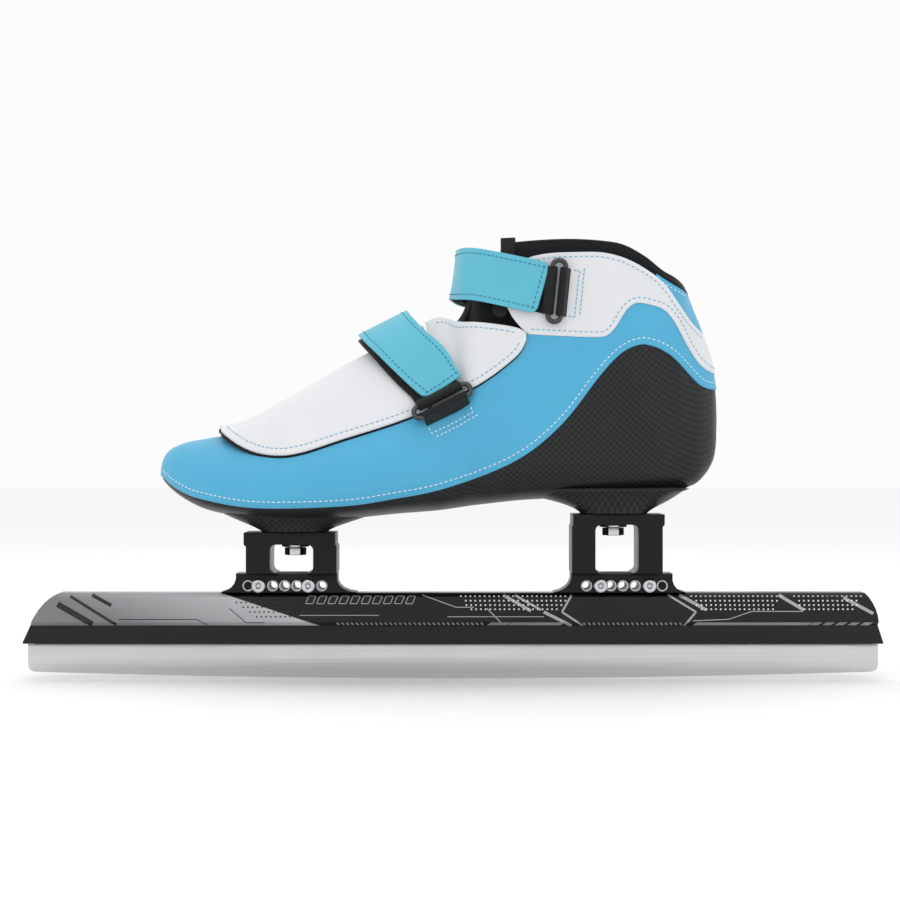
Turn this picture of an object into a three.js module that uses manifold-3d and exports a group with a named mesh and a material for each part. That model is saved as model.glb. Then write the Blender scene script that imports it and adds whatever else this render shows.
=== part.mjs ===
// Short-track speed skate, left foot: a low carbon boot on a fixed 17-inch blade.
// Frame: millimetres, +X to the heel, -Y to the outer side of the foot, +Z up.
// The origin is on the insole, at the heel, right above the rear mounting bolt.
import * as THREE from 'three';
import { mergeVertices } from 'three/addons/utils/BufferGeometryUtils.js';
import Module from 'manifold-3d';

const wasm = await Module();
wasm.setup();

// ---------------------------------------------------------------- driving dimensions
const bootLength = 282.4; // toe cap to heel, outside
const bootWidth = 93; // across the ball of the foot, outside
const bootHeight = 124; // insole at the heel to the top of the collar
const gap = 0.3; // between pieces that rest on each other
const carbonWall = 2.8;
const upperWall = 1.7;
const liningWall = 1.7;
const insoleThickness = 2.45;
const tongueThickness = 3.4;
const collarPadding = 1.2; // how far the collar stands proud of the boot
const throatHalfWidth = 11;
const coverLift = 3.4; // how far the laces raise the lace cover over the instep
const coverLining = 1.0;
const coverSkin = 1.3;
const strapWidth = 26;
const strapLayer = 1.7;
const strapLift = 1.6; // more height of the instep strap over the lace cover
const ringWire = 2.5;
const ringRoom = 2; // a ring is this much longer inside than the strap is wide
const ringPitch = 6.4; // between the two long bars of a ring
const webbing = 1.2;
const guideRadius = 4.2; // of the lace guide beside the ankle strap
const boltSpacing = 161.6;
const boltRadius = 3;
const headRadius = 5.6;
const washerRadius = 7;
const sideShift = 5; // how far the blade can be set to each side
const plateLength = 46; // a cup's top plate, along the boot
const plateDepth = 32; // the same, across the boot
const cupLength = 45.6;
const frontPlate = 6;
const rearPlate = 5.2;
const tongueDepth = 11; // the cup's foot, held between the tower's two cheeks
const towerDepth = 18;
const holeRadius = 2.5;
const screwRadius = 2.2;
const screwHeadRadius = 3.7;
const frontPadDrop = 5.92; // from the boot's sole to the pad's underside
const rearPadDrop = 8.29;
const padLength = 34; // a pad's flat underside, along the boot
const padDepth = 36; // the same, across the boot
const blockLength = 26; // the threaded block moulded into the shell
const blockDepth = 20;
const blockHeight = 4;
const washerThickness = 1.2;
const boltHeadHeight = 4;
const screwHeadHeight = 1.7;
const nutHeight = 3;
const tubeTop = -56.2;
const tubeWaist = -73; // where the tube steps in to its jaws
const tubeBottom = -82.2;
const tubeToe = -299.7;
const tubeHeel = 136.8;
const tubeWidth = 16;
const tubeWall = 1.8;
const jawWidth = 10;
const steelThickness = 1.2;
const steelBottom = -100;
const steelRocker = 3.4; // rise of the running edge at each end
const slotTop = -73.6;

const ringInside = strapWidth + ringRoom; // clear length of a ring
const stretch = new THREE.Vector3(bootLength / 282.4, bootWidth / 93, bootHeight / 124);

// ---------------------------------------------------------------- solids and shapes
function toSolid(geometry) {
  const bare = geometry.clone();
  bare.deleteAttribute('normal');
  bare.deleteAttribute('uv');
  const merged = mergeVertices(bare, 1e-4);
  const vertProperties = Float32Array.from(merged.attributes.position.array);
  const triVerts = Uint32Array.from(merged.index.array);
  return new wasm.Manifold(new wasm.Mesh({ numProp: 3, vertProperties, triVerts }));
}

function toGeometry(solid) {
  const mesh = solid.getMesh();
  const geometry = new THREE.BufferGeometry();
  geometry.setAttribute('position', new THREE.BufferAttribute(Float32Array.from(mesh.vertProperties), 3));
  geometry.setIndex(Array.from(mesh.triVerts));
  geometry.computeVertexNormals();
  return geometry;
}

function box(x0, x1, y0, y1, z0, z1) {
  const geometry = new THREE.BoxGeometry(x1 - x0, y1 - y0, z1 - z0);
  return toSolid(geometry.translate((x0 + x1) / 2, (y0 + y1) / 2, (z0 + z1) / 2));
}

function shapeOf(points) {
  return new THREE.Shape(points.map(([x, y]) => new THREE.Vector2(x, y)));
}

function roundedRectangle(Kind, x0, x1, y0, y1, r) {
  const shape = new Kind();
  shape.moveTo(x0 + r, y0);
  shape.lineTo(x1 - r, y0);
  shape.absarc(x1 - r, y0 + r, r, -Math.PI / 2, 0, false);
  shape.lineTo(x1, y1 - r);
  shape.absarc(x1 - r, y1 - r, r, 0, Math.PI / 2, false);
  shape.lineTo(x0 + r, y1);
  shape.absarc(x0 + r, y1 - r, r, Math.PI / 2, Math.PI, false);
  shape.lineTo(x0, y0 + r);
  shape.absarc(x0 + r, y0 + r, r, Math.PI, Math.PI * 1.5, false);
  return shape;
}

// A side-view outline (x, z) pushed through the skate from y = -halfDepth to halfDepth.
function sidePrism(shape, halfDepth, curveSegments = 5) {
  const options = { depth: 2 * halfDepth, bevelEnabled: false, curveSegments };
  const geometry = new THREE.ExtrudeGeometry(shape, options);
  return toSolid(geometry.rotateX(Math.PI / 2).translate(0, halfDepth, 0));
}

// A plan-view outline (x, y) pushed up from z0 to z1.
function uprightPrism(shape, z0, z1) {
  const options = { depth: z1 - z0, bevelEnabled: false, curveSegments: 6 };
  return toSolid(new THREE.ExtrudeGeometry(shape, options).translate(0, 0, z0));
}

function crossPin(x, z, radius, halfDepth, sides = 10) {
  const geometry = new THREE.CylinderGeometry(radius, radius, 2 * halfDepth, sides);
  return toSolid(geometry.translate(x, 0, z));
}

function uprightPin(x, z0, z1, radius, sides = 14) {
  const geometry = new THREE.CylinderGeometry(radius, radius, z1 - z0, sides);
  return toSolid(geometry.rotateX(Math.PI / 2).translate(x, 0, (z0 + z1) / 2));
}

function cutAll(solid, cutters) {
  return cutters.reduce((rest, cutter) => rest.subtract(cutter), solid);
}

function smoothStep(value) {
  const t = Math.min(1, Math.max(0, value));
  return t * t * (3 - 2 * t);
}

// ---------------------------------------------------------------- the boot's form
// Stations from toe to heel: place, sole, crown, half width at the widest, half width at the
// crown, and how full the section is above its widest line.
const lid = 145; // the form runs on above the collar, which is cut out of it
const ridge = 0.6;
const stations = [
  [-230, 4, 4, 0, 0, 2.2],
  [-227, -1.5, 14, 13, ridge, 2.2],
  [-218, -8.5, 19, 25, ridge, 2.2],
  [-205, -14.5, 21.5, 33.5, ridge, 2.1],
  [-185, -18, 25.5, 40.5, ridge, 2.0],
  [-160, -19.3, 38.5, 45.5, ridge, 1.9],
  [-135, -18.6, 53, 46.5, ridge, 1.8],
  [-110, -16.2, 66, 44, ridge, 1.75],
  [-90, -14.6, 77, 41, ridge, 1.7],
  [-77, -12.8, 92, 39, ridge, 1.6],
  [-68, -11.6, lid, 38, 8, 1.5],
  [-45, -9.2, lid, 37, 26, 2.0],
  [-15, -7.9, lid, 35.5, 29, 2.2],
  [5, -7.7, lid, 33.5, 27, 2.2],
  [20, -7.7, lid, 31, 21, 2.2],
  [29, -6.4, lid, 27.5, 11, 2.2],
  [36, -3.5, 98, 23.5, ridge, 2.2],
  [43, 0, 78, 18.5, ridge, 2.2],
  [49, 7.5, 60, 11.5, ridge, 2.2],
  [51.8, 16, 46, 5, ridge, 2.2],
  [52.4, 31, 31, 0, 0, 2.2],
];
const lastStation = stations.length - 1;
const bellyShare = 0.27; // height of the widest line, as a share of the section
const bellyAt = 0.4; // the same, as a share of the way from sole to crown
const soleRoundness = 2.8;
const toeInset = 6; // the toe lies this far towards the inner side
const archTuck = 0.07; // the inner side is this much narrower under the arch

function turned(row) {
  return [row[0], row[2], row[1], -row[3], -row[4], row[5]];
}

function rowAt(index) {
  if (index < 0) return turned(stations[1]);
  if (index > lastStation) return turned(stations[lastStation - 1]);
  return stations[index];
}

function station(place) {
  const index = Math.min(lastStation - 1, Math.max(0, Math.floor(place)));
  const f = place - index;
  const rows = [index - 1, index, index + 1, index + 2].map(rowAt);
  const [x, bottom, top, half, crownHalf, fullness] = rows[1].map((_, k) => {
    const [p0, p1, p2, p3] = rows.map((row) => row[k]);
    const slope = p2 - p0;
    const bend = 2 * p0 - 5 * p1 + 4 * p2 - p3;
    const twist = 3 * p1 - p0 - 3 * p2 + p3;
    return 0.5 * (2 * p1 + slope * f + bend * f * f + twist * f * f * f);
  });
  return {
    x: x * stretch.x,
    bottom: bottom * stretch.z,
    top: top * stretch.z,
    half: Math.max(0, half) * stretch.y,
    crownHalf: Math.max(Math.min(half, ridge), crownHalf) * stretch.y,
    fullness,
  };
}

// A point of the section at a place along the boot; up runs from 0 at the sole to 1 at the crown.
function sectionPoint(place, up, side) {
  const s = station(place);
  const widest = s.bottom + bellyShare * (s.top - s.bottom);
  const low = up < bellyAt;
  const angle = (Math.PI / 2) * (low ? 1 - up / bellyAt : (up - bellyAt) / (1 - bellyAt));
  const power = 2 / (low ? soleRoundness : s.fullness);
  const across = Math.max(0, Math.cos(angle)) ** power;
  const rise = Math.sin(angle) ** power;
  const half = low ? s.half * across : s.crownHalf + (s.half - s.crownHalf) * across;
  const z = low ? widest - (widest - s.bottom) * rise : widest + (s.top - widest) * rise;
  const inset = toeInset * smoothStep((-110 * stretch.x - s.x) / (120 * stretch.x));
  const arch = Math.max(0, 1 - Math.abs(s.x / stretch.x + 55) / 55);
  const tuck = side > 0 ? 1 - archTuck * smoothStep(arch) : 1;
  return new THREE.Vector3(s.x, inset + side * half * tuck, z);
}

const stationSteps = 20;
const sideSteps = 8;

function formGeometry() {
  const positions = [];
  const push = (p) => positions.push(p.x, p.y, p.z);
  const ring = 2 * sideSteps;
  push(sectionPoint(0, 0, -1));
  for (let i = 1; i < stationSteps; i += 1) {
    const place = (i / stationSteps) * lastStation;
    for (let j = 0; j <= sideSteps; j += 1) push(sectionPoint(place, j / sideSteps, -1));
    for (let j = sideSteps; j >= 1; j -= 1) push(sectionPoint(place, j / sideSteps, 1));
  }
  push(sectionPoint(lastStation, 0, -1));
  const count = ring + 1;
  const at = (i, j) => 1 + (i - 1) * count + (j % count);
  const end = 1 + (stationSteps - 1) * count;
  const faces = [];
  for (let j = 0; j < count; j += 1) {
    faces.push(0, at(1, j), at(1, j + 1));
    faces.push(end, at(stationSteps - 1, j + 1), at(stationSteps - 1, j));
    for (let i = 1; i < stationSteps - 1; i += 1) {
      faces.push(at(i, j), at(i + 1, j), at(i, j + 1));
      faces.push(at(i, j + 1), at(i + 1, j), at(i + 1, j + 1));
    }
  }
  const geometry = new THREE.BufferGeometry();
  geometry.setAttribute('position', new THREE.Float32BufferAttribute(positions, 3));
  geometry.setIndex(faces);
  geometry.computeVertexNormals();
  return geometry;
}

const form = formGeometry();

// The closed solid inside the boot's form moved out along its normals; offset is a number or a
// function of the point.
function formSolid(offset) {
  const moved = form.clone();
  const position = moved.attributes.position;
  const normal = moved.attributes.normal;
  const point = new THREE.Vector3();
  const direction = new THREE.Vector3();
  for (let i = 0; i < position.count; i += 1) {
    point.fromBufferAttribute(position, i);
    direction.fromBufferAttribute(normal, i);
    const distance = typeof offset === 'function' ? offset(point) : offset;
    point.addScaledVector(direction, distance);
    position.setXYZ(i, point.x, point.y, point.z);
  }
  return toSolid(moved);
}

function placeOf(x) {
  let [low, high] = [0, lastStation];
  for (let i = 0; i < 40; i += 1) {
    const middle = (low + high) / 2;
    if (station(middle).x < x) low = middle;
    else high = middle;
  }
  return (low + high) / 2;
}

// The point and outward normal of the form's side at (x, z), over a patch of a given half size;
// over a hollow the point is moved out to the patch's edges.
function surfaceAt(x, z, side, spread) {
  const pointAt = (px, pz) => {
    const place = placeOf(px);
    let [low, high] = [0, 1];
    for (let i = 0; i < 40; i += 1) {
      const middle = (low + high) / 2;
      if (sectionPoint(place, middle, side).z < pz) low = middle;
      else high = middle;
    }
    return sectionPoint(place, (low + high) / 2, side);
  };
  const point = pointAt(x, z);
  const [toHeel, toToe] = [pointAt(x + spread, z), pointAt(x - spread, z)];
  const alongX = toHeel.clone().sub(toToe);
  const alongZ = pointAt(x, z + spread / 2).sub(pointAt(x, z - spread / 2));
  const normal = alongX.cross(alongZ).normalize();
  if (normal.y * side < 0) normal.negate();
  const hollow = toHeel.add(toToe).multiplyScalar(0.5).sub(point).dot(normal);
  const lift = Math.max(0, hollow);
  return { point: point.addScaledVector(normal, lift), normal, lift };
}

// A point above the crown at (x, y), lifted off the form.
function crownPoint(x, y, lift) {
  const place = placeOf(x);
  const side = y < 0 ? -1 : 1;
  let [low, high] = [bellyAt, 1];
  for (let i = 0; i < 30; i += 1) {
    const middle = (low + high) / 2;
    if (Math.abs(sectionPoint(place, middle, side).y) > Math.abs(y)) low = middle;
    else high = middle;
  }
  const point = sectionPoint(place, low, side);
  return new THREE.Vector3(x, y, point.z + lift);
}

// ---------------------------------------------------------------- panels cut from the form
function onBoot(points) {
  return points.map(([x, z]) => [x * stretch.x, z * stretch.z]);
}

function smoothLine(points, pieces = 2) {
  const curve = new THREE.SplineCurve(points.map(([x, z]) => new THREE.Vector2(x, z)));
  return curve.getPoints(points.length * pieces).map((p) => [p.x, p.y]);
}

// The line moved to its left by a distance.
function shifted(line, distance) {
  return line.map(([x, z], i) => {
    const [ax, az] = line[Math.max(0, i - 1)];
    const [bx, bz] = line[Math.min(line.length - 1, i + 1)];
    const length = Math.hypot(bx - ax, bz - az);
    return [x - (distance * (bz - az)) / length, z + (distance * (bx - ax)) / length];
  });
}

const reach = 140; // half depth of every side-view cutter

function layer(inner, outer) {
  return formSolid(outer).subtract(formSolid(inner));
}

function cutToOutline(solid, points) {
  return solid.intersect(sidePrism(shapeOf(points), reach));
}

function halfOf(solid, side, overlap = 0) {
  const inside = side > 0 ? -overlap : -reach;
  const outside = side > 0 ? reach : overlap;
  return solid.intersect(box(-400, 300, inside, outside, -200, 300));
}

const seam = smoothLine(onBoot([
  [-228.8, 3.6], [-218.7, -2.9], [-206, -7.4], [-179, -11.4], [-137, -10.4], [-113, -7.2],
  [-85, -1.6], [-51, 11.5], [-28, 29.5], [-9.4, 53.1], [0.1, 63.5], [7.7, 68.2], [15.3, 69.1],
  [27, 63.8], [41.7, 49.9], [51.2, 47.4],
]));
const quarterLow = smoothLine(onBoot([
  [-45.2, 73.1], [-12, 71.7], [-4.9, 73.1], [-0.9, 77.2], [4.1, 85.2], [9.2, 88.8], [16.4, 87.9],
  [22.8, 85.6], [28.1, 79.7], [34.8, 67.8], [42.7, 57.8], [51.8, 53.6],
]), 1);
const quarterHigh = smoothLine(onBoot([
  [-43.1, 111.8], [-33, 113.6], [-16.8, 114.2], [-6.8, 113.9], [3.5, 111.3], [13.9, 106],
  [23.6, 98.4], [34.4, 83.4], [45.6, 72.8],
]), 1);
const collarTop = smoothLine(onBoot([
  [-60, 119], [-36.9, 120.5], [-21.8, 120.9], [-6.6, 120], [3.7, 118.1], [14.3, 112.5],
  [23, 105.9], [30, 102.4], [40, 96],
]), 1);
const heelPanelTop = onBoot([[10, 110.6], [22.7, 101.6], [36.3, 94.2], [60, 82]]);
const behind = 80 * stretch.x;
const ahead = -260 * stretch.x;
const tall = 200 * stretch.z;

function withEnds(line) {
  const first = line[0];
  const last = line[line.length - 1];
  return [[ahead, first[1]], ...line, [behind, last[1]]];
}

const quarterFront = -56 * stretch.x;
const throatFront = -166 * stretch.x;
const throatBack = -50 * stretch.x;

function throatCutter(halfWidth) {
  const shape = roundedRectangle(
    THREE.Shape, throatFront, behind, -halfWidth, halfWidth, halfWidth - 0.5);
  return uprightPrism(shape, 14 * stretch.z, tall).intersect(box(ahead, throatBack, -90, 90, 0, tall));
}

function carbonShell() {
  const outline = [...withEnds(seam), [behind, -90], [ahead, -90]];
  let shell = cutToOutline(layer(-carbonWall, 0), outline);
  for (const cup of [frontCup, rearCup]) {
    shell = shell.add(solePad(cup)).subtract(blockPocket(cup));
    shell = shell.subtract(uprightPin(cup.x, cup.level - 5, 20, boltRadius + gap));
  }
  return shell;
}

function vampUpper() {
  const upper = onBoot([[-46, 73], [-62, 76], [-84, 84], [-96, 96]]);
  const top = shifted([...withEnds(quarterLow).slice(1)].reverse(), gap / 2);
  const outline = [...shifted(withEnds(seam), gap / 2), ...top, ...upper, [ahead, 96 * stretch.z]];
  return cutToOutline(layer(-upperWall, 0), outline).subtract(throatCutter(throatHalfWidth));
}

function ankleQuarter(side) {
  const front = onBoot([[-53, 83], [-56, 94], [-52, 106]]);
  const low = shifted([...quarterLow, [behind, quarterLow.at(-1)[1]]], gap / 2);
  const high = shifted([...quarterHigh, [behind, quarterHigh.at(-1)[1]]], -gap / 2);
  const outline = [...low, ...high.reverse(), ...front.reverse()];
  return halfOf(cutToOutline(layer(-upperWall, 0), outline), side, -gap / 2);
}

function heelPanel() {
  const low = shifted([...quarterHigh.slice(5), [behind, quarterHigh.at(-1)[1]]], gap / 2);
  const outline = [...low, ...[...heelPanelTop].reverse()];
  return cutToOutline(layer(-upperWall, 0), outline);
}

function collarPad() {
  const low = shifted([[quarterFront, 108 * stretch.z], ...quarterHigh.slice(0, 5)], gap / 2);
  const panel = shifted(heelPanelTop, gap);
  const outline = [...low, ...panel, [behind, 90 * stretch.z], [behind, tall], [quarterFront, tall]];
  const band = cutToOutline(layer(-liningWall - carbonWall - gap, collarPadding), outline);
  const below = [[ahead, 0], ...withEnds(collarTop), [behind, 0]];
  return cutToOutline(band, below).subtract(box(ahead, -48.6 * stretch.x, -90, 0, 0, tall));
}

function pullTab() {
  const foot = ankle.tip[1] + strapWidth / 2 + 3; // it comes out from under the strap
  const [[front, topFront], [back, topBack]] = onBoot([[-57.5, 121], [-49, 122.4]]);
  const outline = [[front, foot], [back, foot], [back, topBack], [front, topFront]];
  return halfOf(cutToOutline(layer(-carbonWall, collarPadding), outline), -1);
}

function bootLining() {
  const rim = [[quarterFront, 108 * stretch.z], ...quarterHigh.slice(0, 5), ...heelPanelTop];
  const outline = [...shifted(withEnds(rim), -gap), [behind, -90], [ahead, -90]];
  const wall = cutToOutline(layer(-carbonWall - gap - liningWall, -carbonWall - gap), outline);
  const front = box(ahead, quarterFront + 2, -90, 90, 100 * stretch.z, tall);
  return wall.subtract(throatCutter(throatHalfWidth + 5 + gap)).subtract(front);
}

function tongue() {
  const outer = -carbonWall - gap;
  const strip = layer(outer - tongueThickness, outer).intersect(throatCutter(throatHalfWidth + 5));
  const outline = onBoot([[-300, 10], [-55, 10], [-55, 119], [-300, 119]]);
  return cutToOutline(strip, outline);
}

function soleLine(height) {
  const line = [];
  for (let place = 1; place <= lastStation - 3; place += 0.5) {
    const s = station(place);
    line.push([s.x, s.bottom + height]);
  }
  return line;
}

const insoleBed = carbonWall + liningWall + 2.5 * gap;

function insole() {
  const outline = [...soleLine(insoleBed + insoleThickness), ...soleLine(0).reverse()];
  return cutToOutline(formSolid(-insoleBed), outline);
}

// ---------------------------------------------------------------- lace cover and laces
function laceLift(point) {
  return coverLift * (1 - smoothStep((Math.abs(point.y) - 18) / 16));
}

function raised(base, lift) {
  return (point) => base + lift(point);
}

const coverOutline = smoothLine(onBoot([
  [-212, 27], [-199, 22], [-197, 20.1], [-189.3, 16.3], [-177.5, 13.4], [-165.8, 12.5], [-154.3, 14.4],
  [-137.3, 20], [-103.6, 31.3], [-71.7, 46.3], [-51, 61.4], [-45.3, 70], [-45.2, 73.8],
  [-50.9, 76.7], [-65.9, 78.9], [-92.7, 81.8],
]), 2);

function coverLayer(inner, outer, grow) {
  const outline = [...shifted(coverOutline, -grow), [-92.7 * stretch.x, tall], [-212 * stretch.x, tall]];
  return cutToOutline(layer(raised(inner, laceLift), raised(outer, laceLift)), outline);
}

const coverBase = gap + coverLining + gap;
const coverTop = coverBase + coverSkin;

function laces() {
  const radius = 1;
  const halfWidth = throatHalfWidth + 4;
  const crossings = 5;
  const [first, last] = [-152 * stretch.x, -100 * stretch.x];
  const points = [];
  for (let i = 0; i < crossings; i += 1) {
    const side = i % 2 ? 1 : -1;
    for (const share of [0, 0.33, 0.67, 1]) {
      const x = first + ((last - first) * (i + share * 0.8)) / crossings;
      points.push(crownPoint(x, halfWidth * side * (1 - 2 * share), 3.4 * gap + radius));
    }
  }
  const path = new THREE.CatmullRomCurve3(points);
  const section = new THREE.Shape();
  section.absarc(0, 0, radius, 0, 2 * Math.PI, false);
  const options = { steps: 44, extrudePath: path, curveSegments: 3 };
  return toSolid(new THREE.ExtrudeGeometry(section, options));
}

// ---------------------------------------------------------------- straps and rings
// Each strap: where its middle line meets the crown and ends (side view), the slope of its free
// end, and the place and slope of the ring bar that it goes round.
const instep = {
  crest: onBoot([[-118.4, 82]])[0],
  tip: onBoot([[-87.7, 49.4]])[0],
  tipSlope: 31,
  ring: onBoot([[-86.5, 37.8]])[0],
  ringSlope: 27,
  lift: (point) => laceLift(point) * (1 + strapLift / coverLift),
  above: coverTop + gap + strapWidth / 40, // the wider the strap, the more it bridges hollows
};
const ankle = {
  crest: onBoot([[-80.1, 105.2]])[0],
  tip: onBoot([[-40.5, 96]])[0],
  tipSlope: 78,
  ring: onBoot([[-30.5, 94.2]])[0],
  farRing: onBoot([[-41, 94.6]])[0], // set forward, so that the strap opens clear of the boot
  ringSlope: 84,
  lift: () => 0,
  above: collarPadding + gap,
};

function unit(degrees) {
  const angle = THREE.MathUtils.degToRad(degrees);
  return [Math.cos(angle), Math.sin(angle)];
}

function ringHeight(strap) {
  return strap.above + webbing + gap + ringWire / 2;
}

// A frame on the boot's side: X along the ring's bars, Y towards the crown, Z off the boot.
function ringFrame(strap, side) {
  const [x, z] = side > 0 && strap.farRing ? strap.farRing : strap.ring;
  const { point, normal, lift } = surfaceAt(x, z, side, ringInside / 2 - 2);
  const [dx, dz] = unit(strap.ringSlope);
  const bar = new THREE.Vector3(dx, -(normal.x * dx + normal.z * dz) / normal.y, dz);
  bar.normalize().multiplyScalar(-side);
  const rise = normal.clone().cross(bar);
  const centre = point.clone().addScaledVector(normal, ringHeight(strap));
  const matrix = new THREE.Matrix4().makeBasis(bar, rise, normal).setPosition(centre);
  return { matrix, bar, rise, normal, centre, lift };
}

function ringGeometry(strap, side) {
  const bevel = ringWire * 0.28;
  const halfLength = ringInside / 2 + ringWire - bevel;
  const halfHeight = (ringPitch + ringWire) / 2 - bevel;
  const inside = ringInside / 2 + bevel;
  const insideHeight = (ringPitch - ringWire) / 2 + bevel;
  const shape = roundedRectangle(THREE.Shape, -halfLength, halfLength, -halfHeight, halfHeight, halfHeight * 0.95);
  shape.holes.push(roundedRectangle(
    THREE.Path, -inside, inside, -insideHeight, insideHeight, insideHeight * 0.9));
  const geometry = new THREE.ExtrudeGeometry(shape, {
    depth: ringWire - 2 * bevel, bevelThickness: bevel, bevelSize: bevel, bevelSegments: 1, curveSegments: 2,
  });
  return geometry.translate(0, 0, bevel - ringWire / 2).applyMatrix4(ringFrame(strap, side).matrix);
}

// A cylinder along one of the ring's bars: +1 is the bar nearer the crown.
function barPin(strap, side, which, radius, length, sides = 12) {
  const geometry = new THREE.CylinderGeometry(radius, radius, length, sides).rotateZ(Math.PI / 2);
  return toSolid(geometry.translate(0, (which * ringPitch) / 2, 0).applyMatrix4(ringFrame(strap, side).matrix));
}

// Webbing round a bar, joined to a flat layer of webbing on the boot.
function barLoop(strap, side, which, width, patch) {
  const hole = ringWire / 2 + gap;
  const loop = barPin(strap, side, which, hole + webbing, width);
  return loop.add(patch).subtract(barPin(strap, side, which, hole, width + 20));
}

function barEnds(strap, side, which, width, out = 0) {
  const frame = ringFrame(strap, side);
  const middle = frame.centre.clone().addScaledVector(frame.normal, -ringHeight(strap));
  middle.addScaledVector(frame.rise, (which * ringPitch) / 2 + out);
  return [-1, 1].map((end) => {
    const point = middle.clone().addScaledVector(frame.bar, (end * width) / 2);
    return [point.x, point.z];
  });
}

// The two ends of a line of a given width and slope, in side view.
function endLine([x, z], slope, width) {
  const [dx, dz] = unit(slope);
  return [[x - (dx * width) / 2, z - (dz * width) / 2], [x + (dx * width) / 2, z + (dz * width) / 2]];
}

// The strap's side-view outline from a line at its end to well above the crown.
function strapOutline(strap, end) {
  const along = [strap.crest[0] - strap.tip[0], strap.crest[1] - strap.tip[1]];
  const length = Math.hypot(...along);
  const far = [strap.crest[0] + (along[0] / length) * 32, strap.crest[1] + (along[1] / length) * 32];
  const slope = THREE.MathUtils.radToDeg(Math.atan2(-along[0], along[1]));
  const [topLeft, topRight] = endLine(far, slope, strapWidth);
  const [left, right] = [...end].sort((a, b) => (a[0] - b[0]) * (topRight[0] - topLeft[0])
    + (a[1] - b[1]) * (topRight[1] - topLeft[1]));
  return [left, right, topRight, topLeft];
}

function strapLayerOf(strap, level) {
  const inner = strap.above + level * (strapLayer + gap);
  return layer(raised(inner, strap.lift), raised(inner + strapLayer, strap.lift));
}

function lowerStrap(strap) {
  const sheet = strapLayerOf(strap, 0);
  let whole = null;
  for (const side of [-1, 1]) {
    const half = halfOf(cutToOutline(sheet, strapOutline(strap, barEnds(strap, side, 1, strapWidth - 2))), side, 1);
    const looped = barLoop(strap, side, 1, strapWidth - 2, half);
    whole = whole ? whole.add(looped) : looped;
  }
  return whole;
}

function upperStrap(strap) {
  const sheet = strapLayerOf(strap, 1);
  const near = cutToOutline(sheet, strapOutline(strap, endLine(strap.tip, strap.tipSlope, strapWidth)));
  const far = cutToOutline(sheet, strapOutline(strap, barEnds(strap, 1, 1, strapWidth, 2)));
  const whole = halfOf(near, -1, 1).add(halfOf(far, 1, 1));
  const clear = ringWire / 2 + gap + webbing + gap;
  return whole.subtract(barPin(strap, 1, 1, clear, ringInside + 20));
}

function ringTab(strap, side) {
  const length = 12;
  const width = strapWidth - 2;
  const outline = [...barEnds(strap, side, -1, width), ...barEnds(strap, side, -1, width, -length).reverse()];
  const patch = halfOf(cutToOutline(layer(gap, gap + webbing), outline), side);
  const hole = ringWire / 2 + gap;
  const reachDown = ringHeight(strap) + ringFrame(strap, side).lift - gap - webbing / 3;
  const web = new THREE.BoxGeometry(width * 0.7, webbing, reachDown);
  const drop = -ringPitch / 2 - hole - webbing / 2;
  web.translate(0, drop, -reachDown / 2);
  const joined = patch.add(toSolid(web.applyMatrix4(ringFrame(strap, side).matrix)));
  return barLoop(strap, side, -1, width, joined);
}

function laceGuide(side) {
  const shape = new THREE.Shape();
  const [edge, z] = onBoot([[-53.7, 85.6]])[0]; // the quarter's front edge
  shape.absarc(edge - guideRadius - 0.1, z, guideRadius, 0, 2 * Math.PI, false);
  return halfOf(layer(gap, collarPadding).intersect(sidePrism(shape, reach, 8)), side);
}

// ---------------------------------------------------------------- cups and towers
function soleAt(x) {
  return station(placeOf(x)).bottom;
}

const frontCup = {
  x: -boltSpacing, level: soleAt(-boltSpacing) - frontPadDrop, plate: frontPlate,
  plateFrom: -25.1, legsFrom: -24, windowFrom: -12, windowTo: 9.8,
  screws: [-18.1, 7], open: [-11, -4.9, 1.2, 13.8], blind: [-23.4], tongueFrom: -20.6, tongueTo: 17.2,
  toeFlare: 8, heelFlare: 10,
};
const rearCup = {
  x: 0, level: soleAt(0) - rearPadDrop, plate: rearPlate,
  plateFrom: -21.1, legsFrom: -21.7, windowFrom: -9.9, windowTo: 11.8,
  screws: [-6.9, 17.8], open: [-14, -1.7, 4.4, 10.6], blind: [24.2], tongueFrom: -17.6, tongueTo: 21.4,
  toeFlare: 9, heelFlare: 7,
};
const cups = { front: frontCup, rear: rearCup };
const towerTop = tubeTop + 9.9;
const holeLevel = tubeTop + 3.7;

function cupLevel(cup) {
  return cup.level - gap;
}

function solePad(cup) {
  const half = padLength / 2;
  const floor = cup.level;
  const top = soleAt(cup.x) + carbonWall * 0.5;
  const spread = (top - floor) * 1.4;
  const outline = [
    [cup.x - half, floor], [cup.x + half, floor], [cup.x + half + spread, top], [cup.x - half - spread, top],
  ];
  return sidePrism(shapeOf(outline), padDepth / 2);
}

function blockFloor(cup) {
  return cup.level + 2.4;
}

function blockPocket(cup) {
  const half = blockLength / 2 + gap;
  const halfDepth = blockDepth / 2 + gap;
  const top = soleAt(cup.x) + carbonWall * 2;
  return box(cup.x - half, cup.x + half, -halfDepth, halfDepth, blockFloor(cup) - gap, top);
}

function soleBlock(cup) {
  const floor = blockFloor(cup);
  const half = blockLength / 2;
  const block = box(cup.x - half, cup.x + half, -blockDepth / 2, blockDepth / 2, floor, floor + blockHeight);
  return block.subtract(uprightPin(cup.x, floor - 2, floor + blockHeight + 2, boltRadius + gap / 2));
}

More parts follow.
